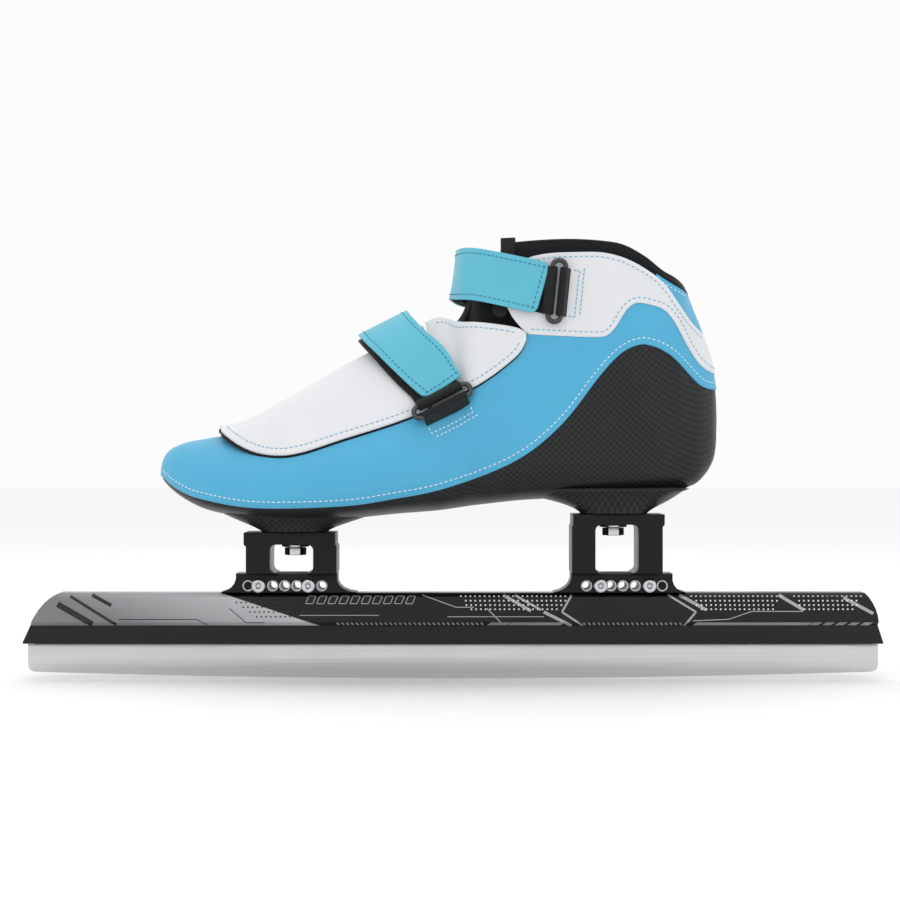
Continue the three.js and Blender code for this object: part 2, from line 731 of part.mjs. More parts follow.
function cupSolid(cup) {
  const top = cupLevel(cup);
  const under = top - cup.plate;
  const plateFrom = cup.x + cup.plateFrom;
  const legsFrom = cup.x + cup.legsFrom;
  const outline = [
    [plateFrom, top], [plateFrom, under], [legsFrom, under - 1], [legsFrom, towerTop + gap],
    [legsFrom + cupLength, towerTop + gap], [legsFrom + cupLength, under - 1],
    [plateFrom + plateLength, under], [plateFrom + plateLength, top],
  ];
  const shape = shapeOf(outline.reverse());
  const sill = towerTop + 0.5;
  const corner = 3;
  const [from, to] = [cup.x + cup.windowFrom, cup.x + cup.windowTo];
  shape.holes.push(roundedRectangle(THREE.Path, from, to, sill, under, corner));
  const betweenLegs = box(from + corner, to - corner, -plateDepth, plateDepth, towerTop, sill + 0.1);
  const foot = box(cup.x + cup.tongueFrom, cup.x + cup.tongueTo, -tongueDepth / 2, tongueDepth / 2,
    tubeTop + 2 * gap, sill);
  const slot = roundedRectangle(THREE.Shape, cup.x - boltRadius - gap, cup.x + boltRadius + gap,
    -sideShift - boltRadius - gap, sideShift + boltRadius + gap, boltRadius + gap - 0.01);
  const holes = [...cup.screws, ...cup.open].map((x) => crossPin(cup.x + x, holeLevel, holeRadius, 30));
  const body = sidePrism(shape, plateDepth / 2).subtract(betweenLegs).add(foot);
  return cutAll(body, [uprightPrism(slot, under - 2, top + 2), ...holes]);
}

function towerSolid(cup) {
  const left = cup.x + cup.legsFrom - (cup === frontCup ? 5.6 : 0);
  const right = cup.x + cup.legsFrom + cupLength + (cup === rearCup ? 5.6 : 0);
  const floor = tubeTop + gap;
  const shape = new THREE.Shape();
  shape.moveTo(left - cup.toeFlare, floor);
  shape.lineTo(right + cup.heelFlare, floor);
  shape.quadraticCurveTo(right + 1, floor + 0.8, right, floor + 6);
  shape.lineTo(right, towerTop);
  shape.lineTo(left, towerTop);
  shape.lineTo(left, floor + 7);
  shape.quadraticCurveTo(left - 1, floor + 1.5, left - cup.toeFlare, floor);
  const slot = box(cup.x + cup.tongueFrom - gap, cup.x + cup.tongueTo + gap,
    -tongueDepth / 2 - gap, tongueDepth / 2 + gap, floor - 5, towerTop + 5);
  const through = [...cup.screws, ...cup.open].map((x) => crossPin(cup.x + x, holeLevel, holeRadius, 30));
  const blind = cup.blind.map((x) => blindHole(cup.x + x));
  return cutAll(sidePrism(shape, towerDepth / 2, 4), [slot, ...through, ...blind]);
}

function blindHole(x) {
  const depth = 2.5;
  const geometry = new THREE.CylinderGeometry(holeRadius, holeRadius, 2 * depth, 10);
  return toSolid(geometry.translate(x, -towerDepth / 2, holeLevel));
}

function ringPlate(outer, inner, depth, sides) {
  const shape = new THREE.Shape();
  shape.absarc(0, 0, outer, 0, 2 * Math.PI, false);
  const hole = new THREE.Path();
  hole.absarc(0, 0, inner, 0, 2 * Math.PI, true);
  shape.holes.push(hole);
  return new THREE.ExtrudeGeometry(shape, { depth, bevelEnabled: false, curveSegments: sides / 2 });
}

function washer(cup) {
  const top = cupLevel(cup) - cup.plate - gap;
  const geometry = ringPlate(washerRadius, boltRadius + gap, washerThickness, 14);
  return geometry.translate(cup.x, 0, top - washerThickness);
}

function mountingBolt(cup) {
  const headTop = cupLevel(cup) - cup.plate - 2 * gap - washerThickness;
  const head = new THREE.CylinderGeometry(headRadius, headRadius, boltHeadHeight, 6);
  head.rotateX(Math.PI / 2).rotateZ(Math.PI / 2).translate(cup.x, 0, headTop - boltHeadHeight / 2);
  const end = blockFloor(cup) + blockHeight - 0.5;
  return toSolid(head).add(uprightPin(cup.x, headTop - 1, end, boltRadius));
}

function sideScrew(x) {
  const shank = towerDepth / 2 + 4;
  const face = towerDepth / 2 + gap;
  const head = screwHeadHeight;
  const socket = 1.5;
  const profile = [
    [0, shank], [screwRadius, shank], [screwRadius, -face], [screwHeadRadius, -face],
    [screwHeadRadius, -face - head * 0.5], [screwHeadRadius * 0.8, -face - head],
    [socket, -face - head], [socket, -face - 0.3], [0, -face - 0.3],
  ].map(([r, y]) => new THREE.Vector2(r, y)).reverse();
  return new THREE.LatheGeometry(profile, 10).translate(x, 0, holeLevel);
}

function sideNut(x) {
  const corners = [0, 60, 120, 180, 240, 300].map(unit);
  const shape = shapeOf(corners.map(([a, b]) => [a * screwHeadRadius, b * screwHeadRadius]));
  const hole = new THREE.Path();
  hole.absarc(0, 0, screwRadius + gap, 0, 2 * Math.PI, true);
  shape.holes.push(hole);
  const geometry = new THREE.ExtrudeGeometry(shape, { depth: nutHeight, bevelEnabled: false, curveSegments: 6 });
  return geometry.rotateX(-Math.PI / 2).translate(x, towerDepth / 2 + gap, holeLevel);
}

// ---------------------------------------------------------------- tube and steel
function alongTube(points, holes = []) {
  const shape = shapeOf(points);
  holes.forEach((hole) => shape.holes.push(new THREE.Path(hole.map(([y, z]) => new THREE.Vector2(y, z)))));
  const length = tubeHeel - tubeToe;
  const geometry = new THREE.ExtrudeGeometry(shape, { depth: length, bevelEnabled: false });
  return toSolid(geometry.rotateX(Math.PI / 2).rotateZ(Math.PI / 2).translate(tubeToe, 0, 0));
}

function lumenOutline(clearance) {
  const half = tubeWidth / 2 - tubeWall - clearance;
  const top = tubeTop - tubeWall - clearance;
  const floor = tubeWaist + 6 + clearance;
  return [[-half, floor], [half, floor], [half, top], [-half, top]];
}

function tubeOutline() {
  const half = tubeWidth / 2;
  const jaw = jawWidth / 2;
  const slot = steelThickness / 2 + gap;
  const edge = 2;
  return [
    [-jaw, tubeBottom], [-slot, tubeBottom], [-slot, slotTop], [slot, slotTop], [slot, tubeBottom],
    [jaw, tubeBottom], [jaw, tubeWaist], [half, tubeWaist + 2], [half, tubeTop - edge],
    [half - edge, tubeTop], [edge - half, tubeTop], [-half, tubeTop - edge], [-half, tubeWaist + 2],
    [-jaw, tubeWaist],
  ];
}

function tubeEnds() {
  const shape = new THREE.Shape();
  shape.moveTo(tubeToe, tubeBottom - 1);
  shape.lineTo(tubeHeel, tubeBottom - 1);
  shape.lineTo(tubeHeel, tubeBottom + 0.5);
  shape.lineTo(tubeHeel - 2.9, tubeWaist);
  shape.quadraticCurveTo(tubeHeel - 2.4, tubeTop - 8, tubeHeel - 10, tubeTop + 0.4);
  shape.lineTo(tubeToe + 20, tubeTop + 0.4);
  shape.quadraticCurveTo(tubeToe + 10, tubeTop - 3, tubeToe + 3.8, tubeWaist);
  shape.lineTo(tubeToe, tubeBottom + 0.8);
  return sidePrism(shape, 20, 6);
}

function bladeTube() {
  const solid = alongTube(tubeOutline(), [lumenOutline(0)]);
  return solid.intersect(tubeEnds());
}

function tubePlug(from, to) {
  return alongTube(lumenOutline(gap)).intersect(box(from, to, -20, 20, -90, -40));
}

function steelRunner() {
  const from = tubeToe + 2;
  const to = tubeHeel - 2;
  const middle = (from + to) / 2;
  const half = (to - from) / 2;
  const exposed = tubeBottom - 0.5;
  const tang = steelThickness - 0.2;
  const corner = 4;
  const edgeAt = (x) => steelBottom + steelRocker * ((x - middle) / half) ** 2;
  const shape = new THREE.Shape();
  shape.moveTo(to, exposed);
  shape.lineTo(from, exposed);
  shape.lineTo(from, edgeAt(from) + corner);
  shape.quadraticCurveTo(from, edgeAt(from), from + corner, edgeAt(from + corner));
  const pieces = 16;
  for (let i = 1; i < pieces; i += 1) {
    const x = from + corner + ((to - from - 2 * corner) * i) / pieces;
    shape.lineTo(x, edgeAt(x));
  }
  shape.lineTo(to - corner, edgeAt(to - corner));
  shape.quadraticCurveTo(to, edgeAt(to), to, edgeAt(to) + corner);
  const blade = sidePrism(shape, steelThickness / 2, 4);
  return blade.add(box(from + 3, to - 3, -tang / 2, tang / 2, exposed - 1, slotTop - gap));
}

// ---------------------------------------------------------------- the assembly
const finishes = {
  carbon: [0x23282a, 0.35, 0.1],
  blue: [0x4fb0d5, 0.55, 0],
  strapBlue: [0x69c3d8, 0.6, 0],
  white: [0xdadde0, 0.55, 0],
  padding: [0x1b1d1f, 0.9, 0],
  webbing: [0x161719, 0.85, 0],
  lace: [0xc9ccd0, 0.85, 0],
  cork: [0x54585c, 0.9, 0],
  darkWire: [0x111214, 0.3, 0.8],
  blackAluminium: [0x101112, 0.4, 0.8],
  printedTube: [0x56585a, 0.35, 0.7],
  rubber: [0x18191a, 0.8, 0],
  steel: [0xbfbfbf, 0.35, 1],
  zinc: [0xc9cbcd, 0.35, 1],
};

const skate = new THREE.Group();

function place(name, piece, finish) {
  const [color, roughness, metalness] = finishes[finish];
  const geometry = piece.isBufferGeometry ? piece : toGeometry(piece);
  const mesh = new THREE.Mesh(geometry, new THREE.MeshStandardMaterial({ color, roughness, metalness }));
  mesh.name = name;
  skate.add(mesh);
}

place('carbon_shell', carbonShell(), 'carbon');
place('vamp_upper', vampUpper(), 'blue');
place('ankle_quarter_near', ankleQuarter(-1), 'white');
place('ankle_quarter_far', ankleQuarter(1), 'white');
place('heel_panel', heelPanel(), 'blue');
place('collar_padding', collarPad(), 'padding');
place('collar_pull_tab', pullTab(), 'webbing');
place('boot_lining', bootLining(), 'padding');
place('tongue', tongue(), 'padding');
place('insole', insole(), 'cork');
place('laces', laces(), 'lace');
place('lace_cover_lining', coverLayer(gap, gap + coverLining, 0.8), 'padding');
place('lace_cover', coverLayer(coverBase, coverTop, 0), 'white');
for (const [word, strap] of Object.entries({ instep, ankle })) {
  for (const [side, sign] of [['near', -1], ['far', 1]]) {
    place(`${word}_ring_${side}`, ringGeometry(strap, sign), 'darkWire');
    place(`${word}_ring_tab_${side}`, ringTab(strap, sign), 'webbing');
  }
  place(`${word}_strap_lower`, lowerStrap(strap), 'webbing');
  place(`${word}_strap_upper`, upperStrap(strap), 'strapBlue');
}
place('lace_guide_near', laceGuide(-1), 'webbing');
place('lace_guide_far', laceGuide(1), 'webbing');
for (const [word, cup] of Object.entries(cups)) {
  place(`sole_block_${word}`, soleBlock(cup), 'zinc');
  place(`mounting_bolt_${word}`, mountingBolt(cup), 'zinc');
  place(`mounting_washer_${word}`, washer(cup), 'zinc');
  place(`${word}_cup`, cupSolid(cup), 'blackAluminium');
  place(`${word}_tower`, towerSolid(cup), 'blackAluminium');
  cup.screws.forEach((x, i) => {
    place(`${word}_side_screw_${i + 1}`, sideScrew(cup.x + x), 'zinc');
    place(`${word}_side_nut_${i + 1}`, sideNut(cup.x + x), 'zinc');
  });
}
place('blade_tube', bladeTube(), 'printedTube');
place('tube_plug_toe', tubePlug(tubeToe + 22, tubeToe + 30), 'rubber');
place('tube_plug_heel', tubePlug(tubeHeel - 22, tubeHeel - 14), 'rubber');
place('blade_runner', steelRunner(), 'steel');

export default skate;
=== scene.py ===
"""Short-track speed skate: the soft boot, straps, rings, cups and blade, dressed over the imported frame."""

import logging
import math
from dataclasses import dataclass, field
from enum import Enum, IntEnum
from typing import Any, Callable, Sequence

import bmesh
import bpy
import numpy as np
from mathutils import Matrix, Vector


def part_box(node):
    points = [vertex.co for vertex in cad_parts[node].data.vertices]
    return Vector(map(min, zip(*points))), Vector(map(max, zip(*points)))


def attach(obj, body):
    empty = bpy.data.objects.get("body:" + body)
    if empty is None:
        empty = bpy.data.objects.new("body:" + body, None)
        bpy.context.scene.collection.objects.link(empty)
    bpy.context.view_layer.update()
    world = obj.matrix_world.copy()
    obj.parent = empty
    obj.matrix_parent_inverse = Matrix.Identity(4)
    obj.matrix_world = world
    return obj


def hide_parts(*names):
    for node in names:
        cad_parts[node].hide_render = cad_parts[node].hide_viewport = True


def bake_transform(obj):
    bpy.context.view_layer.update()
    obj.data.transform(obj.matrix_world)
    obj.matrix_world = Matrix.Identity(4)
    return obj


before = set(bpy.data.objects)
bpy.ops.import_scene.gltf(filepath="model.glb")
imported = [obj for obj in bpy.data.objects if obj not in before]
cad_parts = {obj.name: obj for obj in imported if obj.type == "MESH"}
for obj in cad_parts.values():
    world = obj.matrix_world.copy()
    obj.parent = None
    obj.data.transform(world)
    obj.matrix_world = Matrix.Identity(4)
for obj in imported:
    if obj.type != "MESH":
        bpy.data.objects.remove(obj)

log = logging.getLogger("skate")
Array = np.ndarray
Piece = bpy.types.Object
Tree = bpy.types.NodeTree
Node = bpy.types.Node
Socket = bpy.types.NodeSocket
Look = tuple[Socket, Socket | None]  # a finish's colour, and its relief if it has one
Point = tuple[float, float]  # x and z in a side view
MM = 0.001  # the shapes are worked out in millimetres


class Side(IntEnum):
    """The outer side of the foot faces -Y, the inner side +Y."""

    NEAR = -1
    FAR = 1

    @property
    def word(self) -> str:
        """The side's word in the nodes' names."""
        return self.name.lower()


class Over(Enum):
    """Where the two halves of a panel meet."""

    CROWN = "crown"
    SOLE = "sole"


class Kind(Enum):
    """What a row repeats: stitches follow lines, dots sit on points."""

    STITCH = "stitch"
    DOT = "dot"


# ---------------------------------------------------------------- small maths
def smooth_step(value: Array | float) -> Array | float:
    """Ease a value from 0 to 1, held outside that range."""
    t = np.clip(value, 0, 1)
    return t * t * (3 - 2 * t)


def spline(points: Sequence[Sequence[float]], pieces: int = 8) -> Array:
    """Run a smooth curve through points.

    Args:
        points: The points it passes.
        pieces: How many steps lie between two of them.

    Returns:
        The curve's points, one row each.
    """
    p = np.asarray(points, float)
    p = np.vstack([p[0], p, p[-1]])
    f = (np.arange(pieces) / pieces)[:, None]
    rows = []
    for a, b, c, d in zip(p[:-3], p[1:-2], p[2:-1], p[3:]):
        rows.append(0.5 * (2 * b + (c - a) * f + (2 * a - 5 * b + 4 * c - d) * f**2
                           + (3 * b - a - 3 * c + d) * f**3))
    return np.vstack([*rows, p[-2][None]])


def unit(degrees: float) -> Array:
    """Give the side-view direction at an angle above +X."""
    return np.array([math.cos(math.radians(degrees)), math.sin(math.radians(degrees))])


def lengths(lines: Array) -> Array:
    """Measure the way along each line; the points are on axis -2."""
    steps = np.linalg.norm(np.diff(lines, axis=-2), axis=-1)
    return np.concatenate([np.zeros_like(steps[..., :1]), np.cumsum(steps, axis=-1)], axis=-1)


def lengths_down(grid: Array) -> Array:
    """Measure the way down each column of a grid, shape (rows, columns, 3)."""
    return np.moveaxis(lengths(np.moveaxis(grid, 0, 1)), 0, 1)


def resample(lines: Array, at: Array) -> Array:
    """Take points of each line at given ways along it.

    Args:
        lines: Lines of points, shape (lines, points, 3).
        at: Ways along each line in millimetres, shape (lines, new points).

    Returns:
        The new points, shape (lines, new points, 3).
    """
    ways = lengths(lines)
    made = np.empty((*at.shape, 3))
    for i, (line, way) in enumerate(zip(lines, ways)):
        for k in range(3):
            made[i, :, k] = np.interp(at[i], way, line[:, k])
    return made


def soften(grid: Array, passes: int) -> Array:
    """Smooth lines of points along axis 1, with both ends held."""
    for _ in range(passes):
        grid = grid.copy()
        grid[:, 1:-1] = 0.25 * grid[:, :-2] + 0.5 * grid[:, 1:-1] + 0.25 * grid[:, 2:]
    return grid


def unit_rows(vectors: Array) -> Array:
    """Scale each vector to length 1."""
    return vectors / np.maximum(np.linalg.norm(vectors, axis=-1, keepdims=True), 1e-9)


# ---------------------------------------------------------------- the boot's form
STATIONS = (  # place, sole, crown, half width, half width at the crown, fullness
    (-230, 4, 4, 0, 0, 2.2), (-227, -1.5, 14, 13, 0.6, 2.2), (-218, -8.5, 19, 25, 0.6, 2.2),
    (-205, -14.5, 21.5, 33.5, 0.6, 2.1), (-185, -18, 25.5, 40.5, 0.6, 2.0),
    (-160, -19.3, 38.5, 45.5, 0.6, 1.9), (-135, -18.6, 53, 46.5, 0.6, 1.8),
    (-110, -16.2, 66, 44, 0.6, 1.75), (-90, -14.6, 77, 41, 0.6, 1.7), (-77, -12.8, 92, 39, 0.6, 1.6),
    (-68, -11.6, 145, 38, 8, 1.5), (-45, -9.2, 145, 37, 26, 2.0), (-15, -7.9, 145, 35.5, 29, 2.2),
    (5, -7.7, 145, 33.5, 27, 2.2), (20, -7.7, 145, 31, 21, 2.2), (29, -6.4, 145, 27.5, 11, 2.2),
    (36, -3.5, 98, 23.5, 0.6, 2.2), (43, 0, 78, 18.5, 0.6, 2.2), (49, 7.5, 60, 11.5, 0.6, 2.2),
    (51.8, 16, 46, 5, 0.6, 2.2), (52.4, 31, 31, 0, 0, 2.2),
)


@dataclass
class BootForm:
    """The boot's outside as a run of rounded sections, the same one that the CAD solids are cut from."""

    ridge: float = 0.6
    belly_share: float = 0.27
    belly_at: float = 0.4
    sole_roundness: float = 2.8
    toe_inset: float = 6
    arch_tuck: float = 0.07
    steps: int = 4000
    table: Array = field(init=False)
    places: Array = field(init=False)

    def __post_init__(self) -> None:
        """Work the sections out closely along the boot."""
        rows = np.array(STATIONS, float)
        turn = np.array([1, 1, 1, -1, -1, 1])
        first, last = rows[1][[0, 2, 1, 3, 4, 5]] * turn, rows[-2][[0, 2, 1, 3, 4, 5]] * turn
        p = np.vstack([first, rows, last])
        self.places = np.linspace(0, len(rows) - 1, self.steps + 1)
        index = np.minimum(self.places.astype(int), len(rows) - 2)
        f = (self.places - index)[:, None]
        a, b, c, d = p[index], p[index + 1], p[index + 2], p[index + 3]
        table = 0.5 * (2 * b + (c - a) * f + (2 * a - 5 * b + 4 * c - d) * f**2
                       + (3 * b - a - 3 * c + d) * f**3)
        table[:, 3] = np.maximum(table[:, 3], 0)
        table[:, 4] = np.maximum(np.minimum(table[:, 3], self.ridge), table[:, 4])
        table[:, 0] = np.maximum.accumulate(table[:, 0])
        self.table = table

    def at(self, x: Array | float) -> Array:
        """Look up sole, crown, half width, crown half width and fullness at x, on the last axis."""
        x = np.asarray(x, float)
        return np.stack([np.interp(x, self.table[:, 0], self.table[:, k]) for k in range(1, 6)], -1)

    def inset(self, x: Array) -> Array:
        """How far the section's middle lies towards the inner side."""
        return self.toe_inset * smooth_step((-110 - x) / 120)

    def tuck(self, x: Array, side: Array) -> Array:
        """How much narrower the inner side is under the arch."""
        arch = smooth_step(np.maximum(0, 1 - np.abs(x + 55) / 55))
        return np.where(side > 0, 1 - self.arch_tuck * arch, 1)

    def point(self, x: Array, up: Array, side: Array | int) -> Array:
        """Give points of the outside.

        Args:
            x: Place along the boot.
            up: 0 at the sole to 1 at the crown.
            side: -1 or 1.

        Returns:
            Points, with the last axis x, y, z.
        """
        x, up, side = np.broadcast_arrays(np.asarray(x, float), up, side)
        sole, crown, half, crown_half, full = np.moveaxis(self.at(x), -1, 0)
        widest = sole + self.belly_share * (crown - sole)
        low = up < self.belly_at
        angle = np.pi / 2 * np.where(low, 1 - up / self.belly_at, (up - self.belly_at) / (1 - self.belly_at))
        power = 2 / np.where(low, self.sole_roundness, full)
        across = np.clip(np.cos(angle), 0, 1) ** power
        rise = np.clip(np.sin(angle), 0, 1) ** power
        wide = np.where(low, half * across, crown_half + (half - crown_half) * across)
        z = np.where(low, widest - (widest - sole) * rise, widest + (crown - widest) * rise)
        return np.stack([x, self.inset(x) + side * wide * self.tuck(x, side), z], -1)

    def up_at(self, x: Array, z: Array) -> Array:
        """Find how far up the section a height is, held between sole and crown."""
        sole, crown, _, _, full = np.moveaxis(self.at(x), -1, 0)
        widest = sole + self.belly_share * (crown - sole)
        low = z < widest
        span = np.where(low, widest - sole, crown - widest)
        share = np.clip(np.abs(z - widest) / np.maximum(span, 1e-6), 0, 1)
        power = 2 / np.where(low, self.sole_roundness, full)
        turn = np.arcsin(share ** (1 / power)) / (np.pi / 2)
        return np.where(low, self.belly_at * (1 - turn), self.belly_at + (1 - self.belly_at) * turn)

    def up_at_width(self, x: Array, wide: float) -> Array:
        """Find how far up the section has narrowed to a half width."""
        _, _, half, crown_half, full = np.moveaxis(self.at(x), -1, 0)
        share = np.clip((wide - crown_half) / np.maximum(half - crown_half, 1e-6), 0, 1)
        turn = np.arccos(share ** (full / 2)) / (np.pi / 2)
        return self.belly_at + (1 - self.belly_at) * turn

    def depth(self, p: Array) -> Array:
        """Measure sideways how deep points are inside, negative outside."""
        x = np.clip(p[..., 0], STATIONS[0][0] + 0.01, STATIONS[-1][0] - 0.01)
        sole, crown, half, crown_half, full = np.moveaxis(self.at(x), -1, 0)
        z = p[..., 2]
        widest = sole + self.belly_share * (crown - sole)
        low = z < widest
        span = np.maximum(np.where(low, widest - sole, crown - widest), 1e-6)
        share = np.clip(np.abs(z - widest) / span, 0, 1)
        power = 2 / np.where(low, self.sole_roundness, full)
        across = np.sqrt(np.clip(1 - share ** (2 / power), 0, 1)) ** power
        wide = np.where(low, half * across, crown_half + (half - crown_half) * across)
        beyond = np.maximum(0, z - crown) + np.maximum(0, sole - z) + np.abs(p[..., 0] - x)
        y = p[..., 1] - self.inset(x)
        return (wide - 20 * beyond) * self.tuck(x, y) - np.abs(y)

    def normals(self, p: Array, step: float = 0.5) -> Array:
        """Give the outward direction at points of the outside."""
        made = np.empty_like(p)
        for k in range(3):
            move = np.zeros(3)
            move[k] = step
            made[..., k] = self.depth(p - move) - self.depth(p + move)
        return unit_rows(made)

    def cast(self, start: Array, way: Array, far: float = 130) -> Array:
        """Follow rays from inside the boot to its outside.

        Args:
            start: Points inside.
            way: Unit directions.
            far: How far a ray can go.

        Returns:
            The points where the rays come out.
        """
        start, way = np.broadcast_arrays(start, way)
        near, out = np.zeros(start.shape[:-1]), np.full(start.shape[:-1], float(far))
        for _ in range(34):
            middle = (near + out) / 2
            inside = self.depth(start + way * middle[..., None]) > 0
            near, out = np.where(inside, middle, near), np.where(inside, out, middle)
        return start + way * near[..., None]


FORM = BootForm()
SEAM = spline([  # the carbon shell's upper edge, side view
    (-228.8, 3.6), (-218.7, -2.9), (-206, -7.4), (-179, -11.4), (-137, -10.4), (-113, -7.2),
    (-85, -1.6), (-51, 11.5), (-28, 29.5), (-9.4, 53.1), (0.1, 63.5), (7.7, 68.2), (15.3, 69.1),
    (27, 63.8), (41.7, 49.9), (51.2, 47.4)])
QUARTER_LOW = spline([
    (-45.2, 73.1), (-12, 71.7), (-4.9, 73.1), (-0.9, 77.2), (4.1, 85.2), (9.2, 88.8), (16.4, 87.9),
    (22.8, 85.6), (28.1, 79.7), (34.8, 67.8), (42.7, 57.8), (51.8, 53.6)])
QUARTER_HIGH = spline([
    (-43.1, 111.8), (-33, 113.6), (-16.8, 114.2), (-6.8, 113.9), (3.5, 111.3), (13.9, 106),
    (23.6, 98.4), (34.4, 83.4), (45.6, 72.8)])
COLLAR_TOP = spline([
    (-60, 119), (-36.9, 120.5), (-21.8, 120.9), (-6.6, 120), (3.7, 118.1), (14.3, 112.5),
    (23, 105.9), (30, 102.4), (40, 96)])
HEEL_TOP = spline([(10, 110.6), (22.7, 101.6), (36.3, 94.2), (60, 82)])
VAMP_BACK = spline([(-96, 96), (-84, 84), (-62, 76), (-46, 73)])
COVER_EDGE = spline([
    (-212, 27), (-199, 22), (-197, 20.1), (-189.3, 16.3), (-177.5, 13.4), (-165.8, 12.5),
    (-154.3, 14.4), (-137.3, 20), (-103.6, 31.3), (-71.7, 46.3), (-51, 61.4), (-45.3, 70)])
COVER_BACK = spline([(-95, 76.4), (-86, 78.4), (-76, 79.3), (-65.9, 78.9), (-50.9, 76.7), (-45.2, 73.8)])
COVER_LIFT = 3.4
THROAT = 11.0


def height_on(line: Array, x: Array) -> Array:
    """Read a side-view line's height at x, level beyond its ends."""
    order = np.argsort(line[:, 0])
    return np.interp(x, line[order, 0], line[order, 1])


def cover_lift(p: Array) -> Array:
    """How far the lace cover stands off the boot over the laces."""
    return COVER_LIFT * (1 - smooth_step((np.abs(p[..., 1]) - 18) / 16))


# ---------------------------------------------------------------- meshes
def new_object(name: str, points: Array, faces: Sequence[Sequence[int]], uv: Array | None = None) -> Piece:
    """Make a merged, closed, smooth mesh object.

    Args:
        name: The piece's name.
        points: Vertices in millimetres.
        faces: Vertex numbers of each face.
        uv: A pattern place in millimetres for each vertex.

    Returns:
        The object, linked to the scene.
    """
    mesh = bpy.data.meshes.new(name)
    mesh.from_pydata((points * MM).tolist(), [], faces)
    if uv is not None:
        layer = mesh.uv_layers.new(name="UVMap")
        picked = uv[np.array([loop.vertex_index for loop in mesh.loops])]
        layer.data.foreach_set("uv", picked.astype(np.float32).ravel())
    work = bmesh.new()
    work.from_mesh(mesh)
    bmesh.ops.remove_doubles(work, verts=work.verts, dist=2e-6)
    bmesh.ops.dissolve_degenerate(work, edges=work.edges, dist=2e-6)
    bmesh.ops.recalc_face_normals(work, faces=work.faces)
    work.to_mesh(mesh)
    work.free()
    mesh.polygons.foreach_set("use_smooth", [True] * len(mesh.polygons))
    made = bpy.data.objects.new(name, mesh)
    bpy.context.scene.collection.objects.link(made)
    return made


def grid_faces(rows: int, cols: int, base: int = 0, flip: bool = False, ring: bool = False
               ) -> list[list[int]]:
    """List the four-sided faces of a grid of vertices.

    Args:
        rows: Rows of vertices.
        cols: Vertices in a row.
        base: Number of the first vertex.
        flip: Whether the faces look the other way.
        ring: Whether the last row joins the first.

    Returns:
        Vertex numbers of each face.
    """
    faces = []
    for r in range(rows if ring else rows - 1):
        s = (r + 1) % rows
        for c in range(cols - 1):
            here, below = base + r * cols + c, base + s * cols + c
            face = [here, below, below + 1, here + 1]
            faces.append(face[::-1] if flip else face)
    return faces


def shell(name: str, outer: Array, inner: Array, uv: Array) -> Piece:
    """Close two grids that share their border into one solid sheet.

    Args:
        name: The piece's name.
        outer: The outside, shape (rows, columns, 3).
        inner: The inside, the same shape.
        uv: Pattern places in millimetres, shape (rows, columns, 2).

    Returns:
        The sheet.
    """
    rows, cols = outer.shape[:2]
    points = np.vstack([outer.reshape(-1, 3), inner.reshape(-1, 3)])
    faces = grid_faces(rows, cols) + grid_faces(rows, cols, rows * cols, flip=True)
    return new_object(name, points, faces, np.vstack([uv.reshape(-1, 2)] * 2))


def rim_shares(grid: Array, radius: float, ends: bool) -> Array:
    """Give how much of its thickness a sheet has at each vertex, so that its border is round.

    Args:
        grid: The sheet's middle, shape (rows, columns, 3).
        radius: How far in from the border it gets its whole thickness.
        ends: Whether the first and last columns are borders too.

    Returns:
        Shares from 0 to 1.
    """
    down = lengths_down(grid)
    gap = np.minimum(down, down[-1:] - down)
    if ends:
        along = lengths(grid)
        gap = np.minimum(gap, np.minimum(along, along[:, -1:] - along))
    share = np.clip(gap / radius, 0, 1)
    return np.sqrt(1 - (1 - share) ** 2)


BORDER = np.array([0.0, 0.1, 0.3, 0.65, 1.2])  # mm from a border to the close lines that round it


def bordered(start: float, total: float, count: int) -> Array:
    """Mark a way evenly between two ends, with close marks near both.

    Args:
        start: Where the marks begin.
        total: Where they end.
        count: How many even marks lie between the close ones.

    Returns:
        The marks.
    """
    even = np.linspace(start + BORDER[-1], total - BORDER[-1], count)
    return np.concatenate([start + BORDER[:-1], even, total - BORDER[-2::-1]])


def spaced(width: float, step: float) -> Array:
    """Mark a strap's width from its middle, with close marks near both edges."""
    count = max(2, int(round((width - 2 * BORDER[-1]) / step)) + 1)
    return bordered(0, width, count) - width / 2


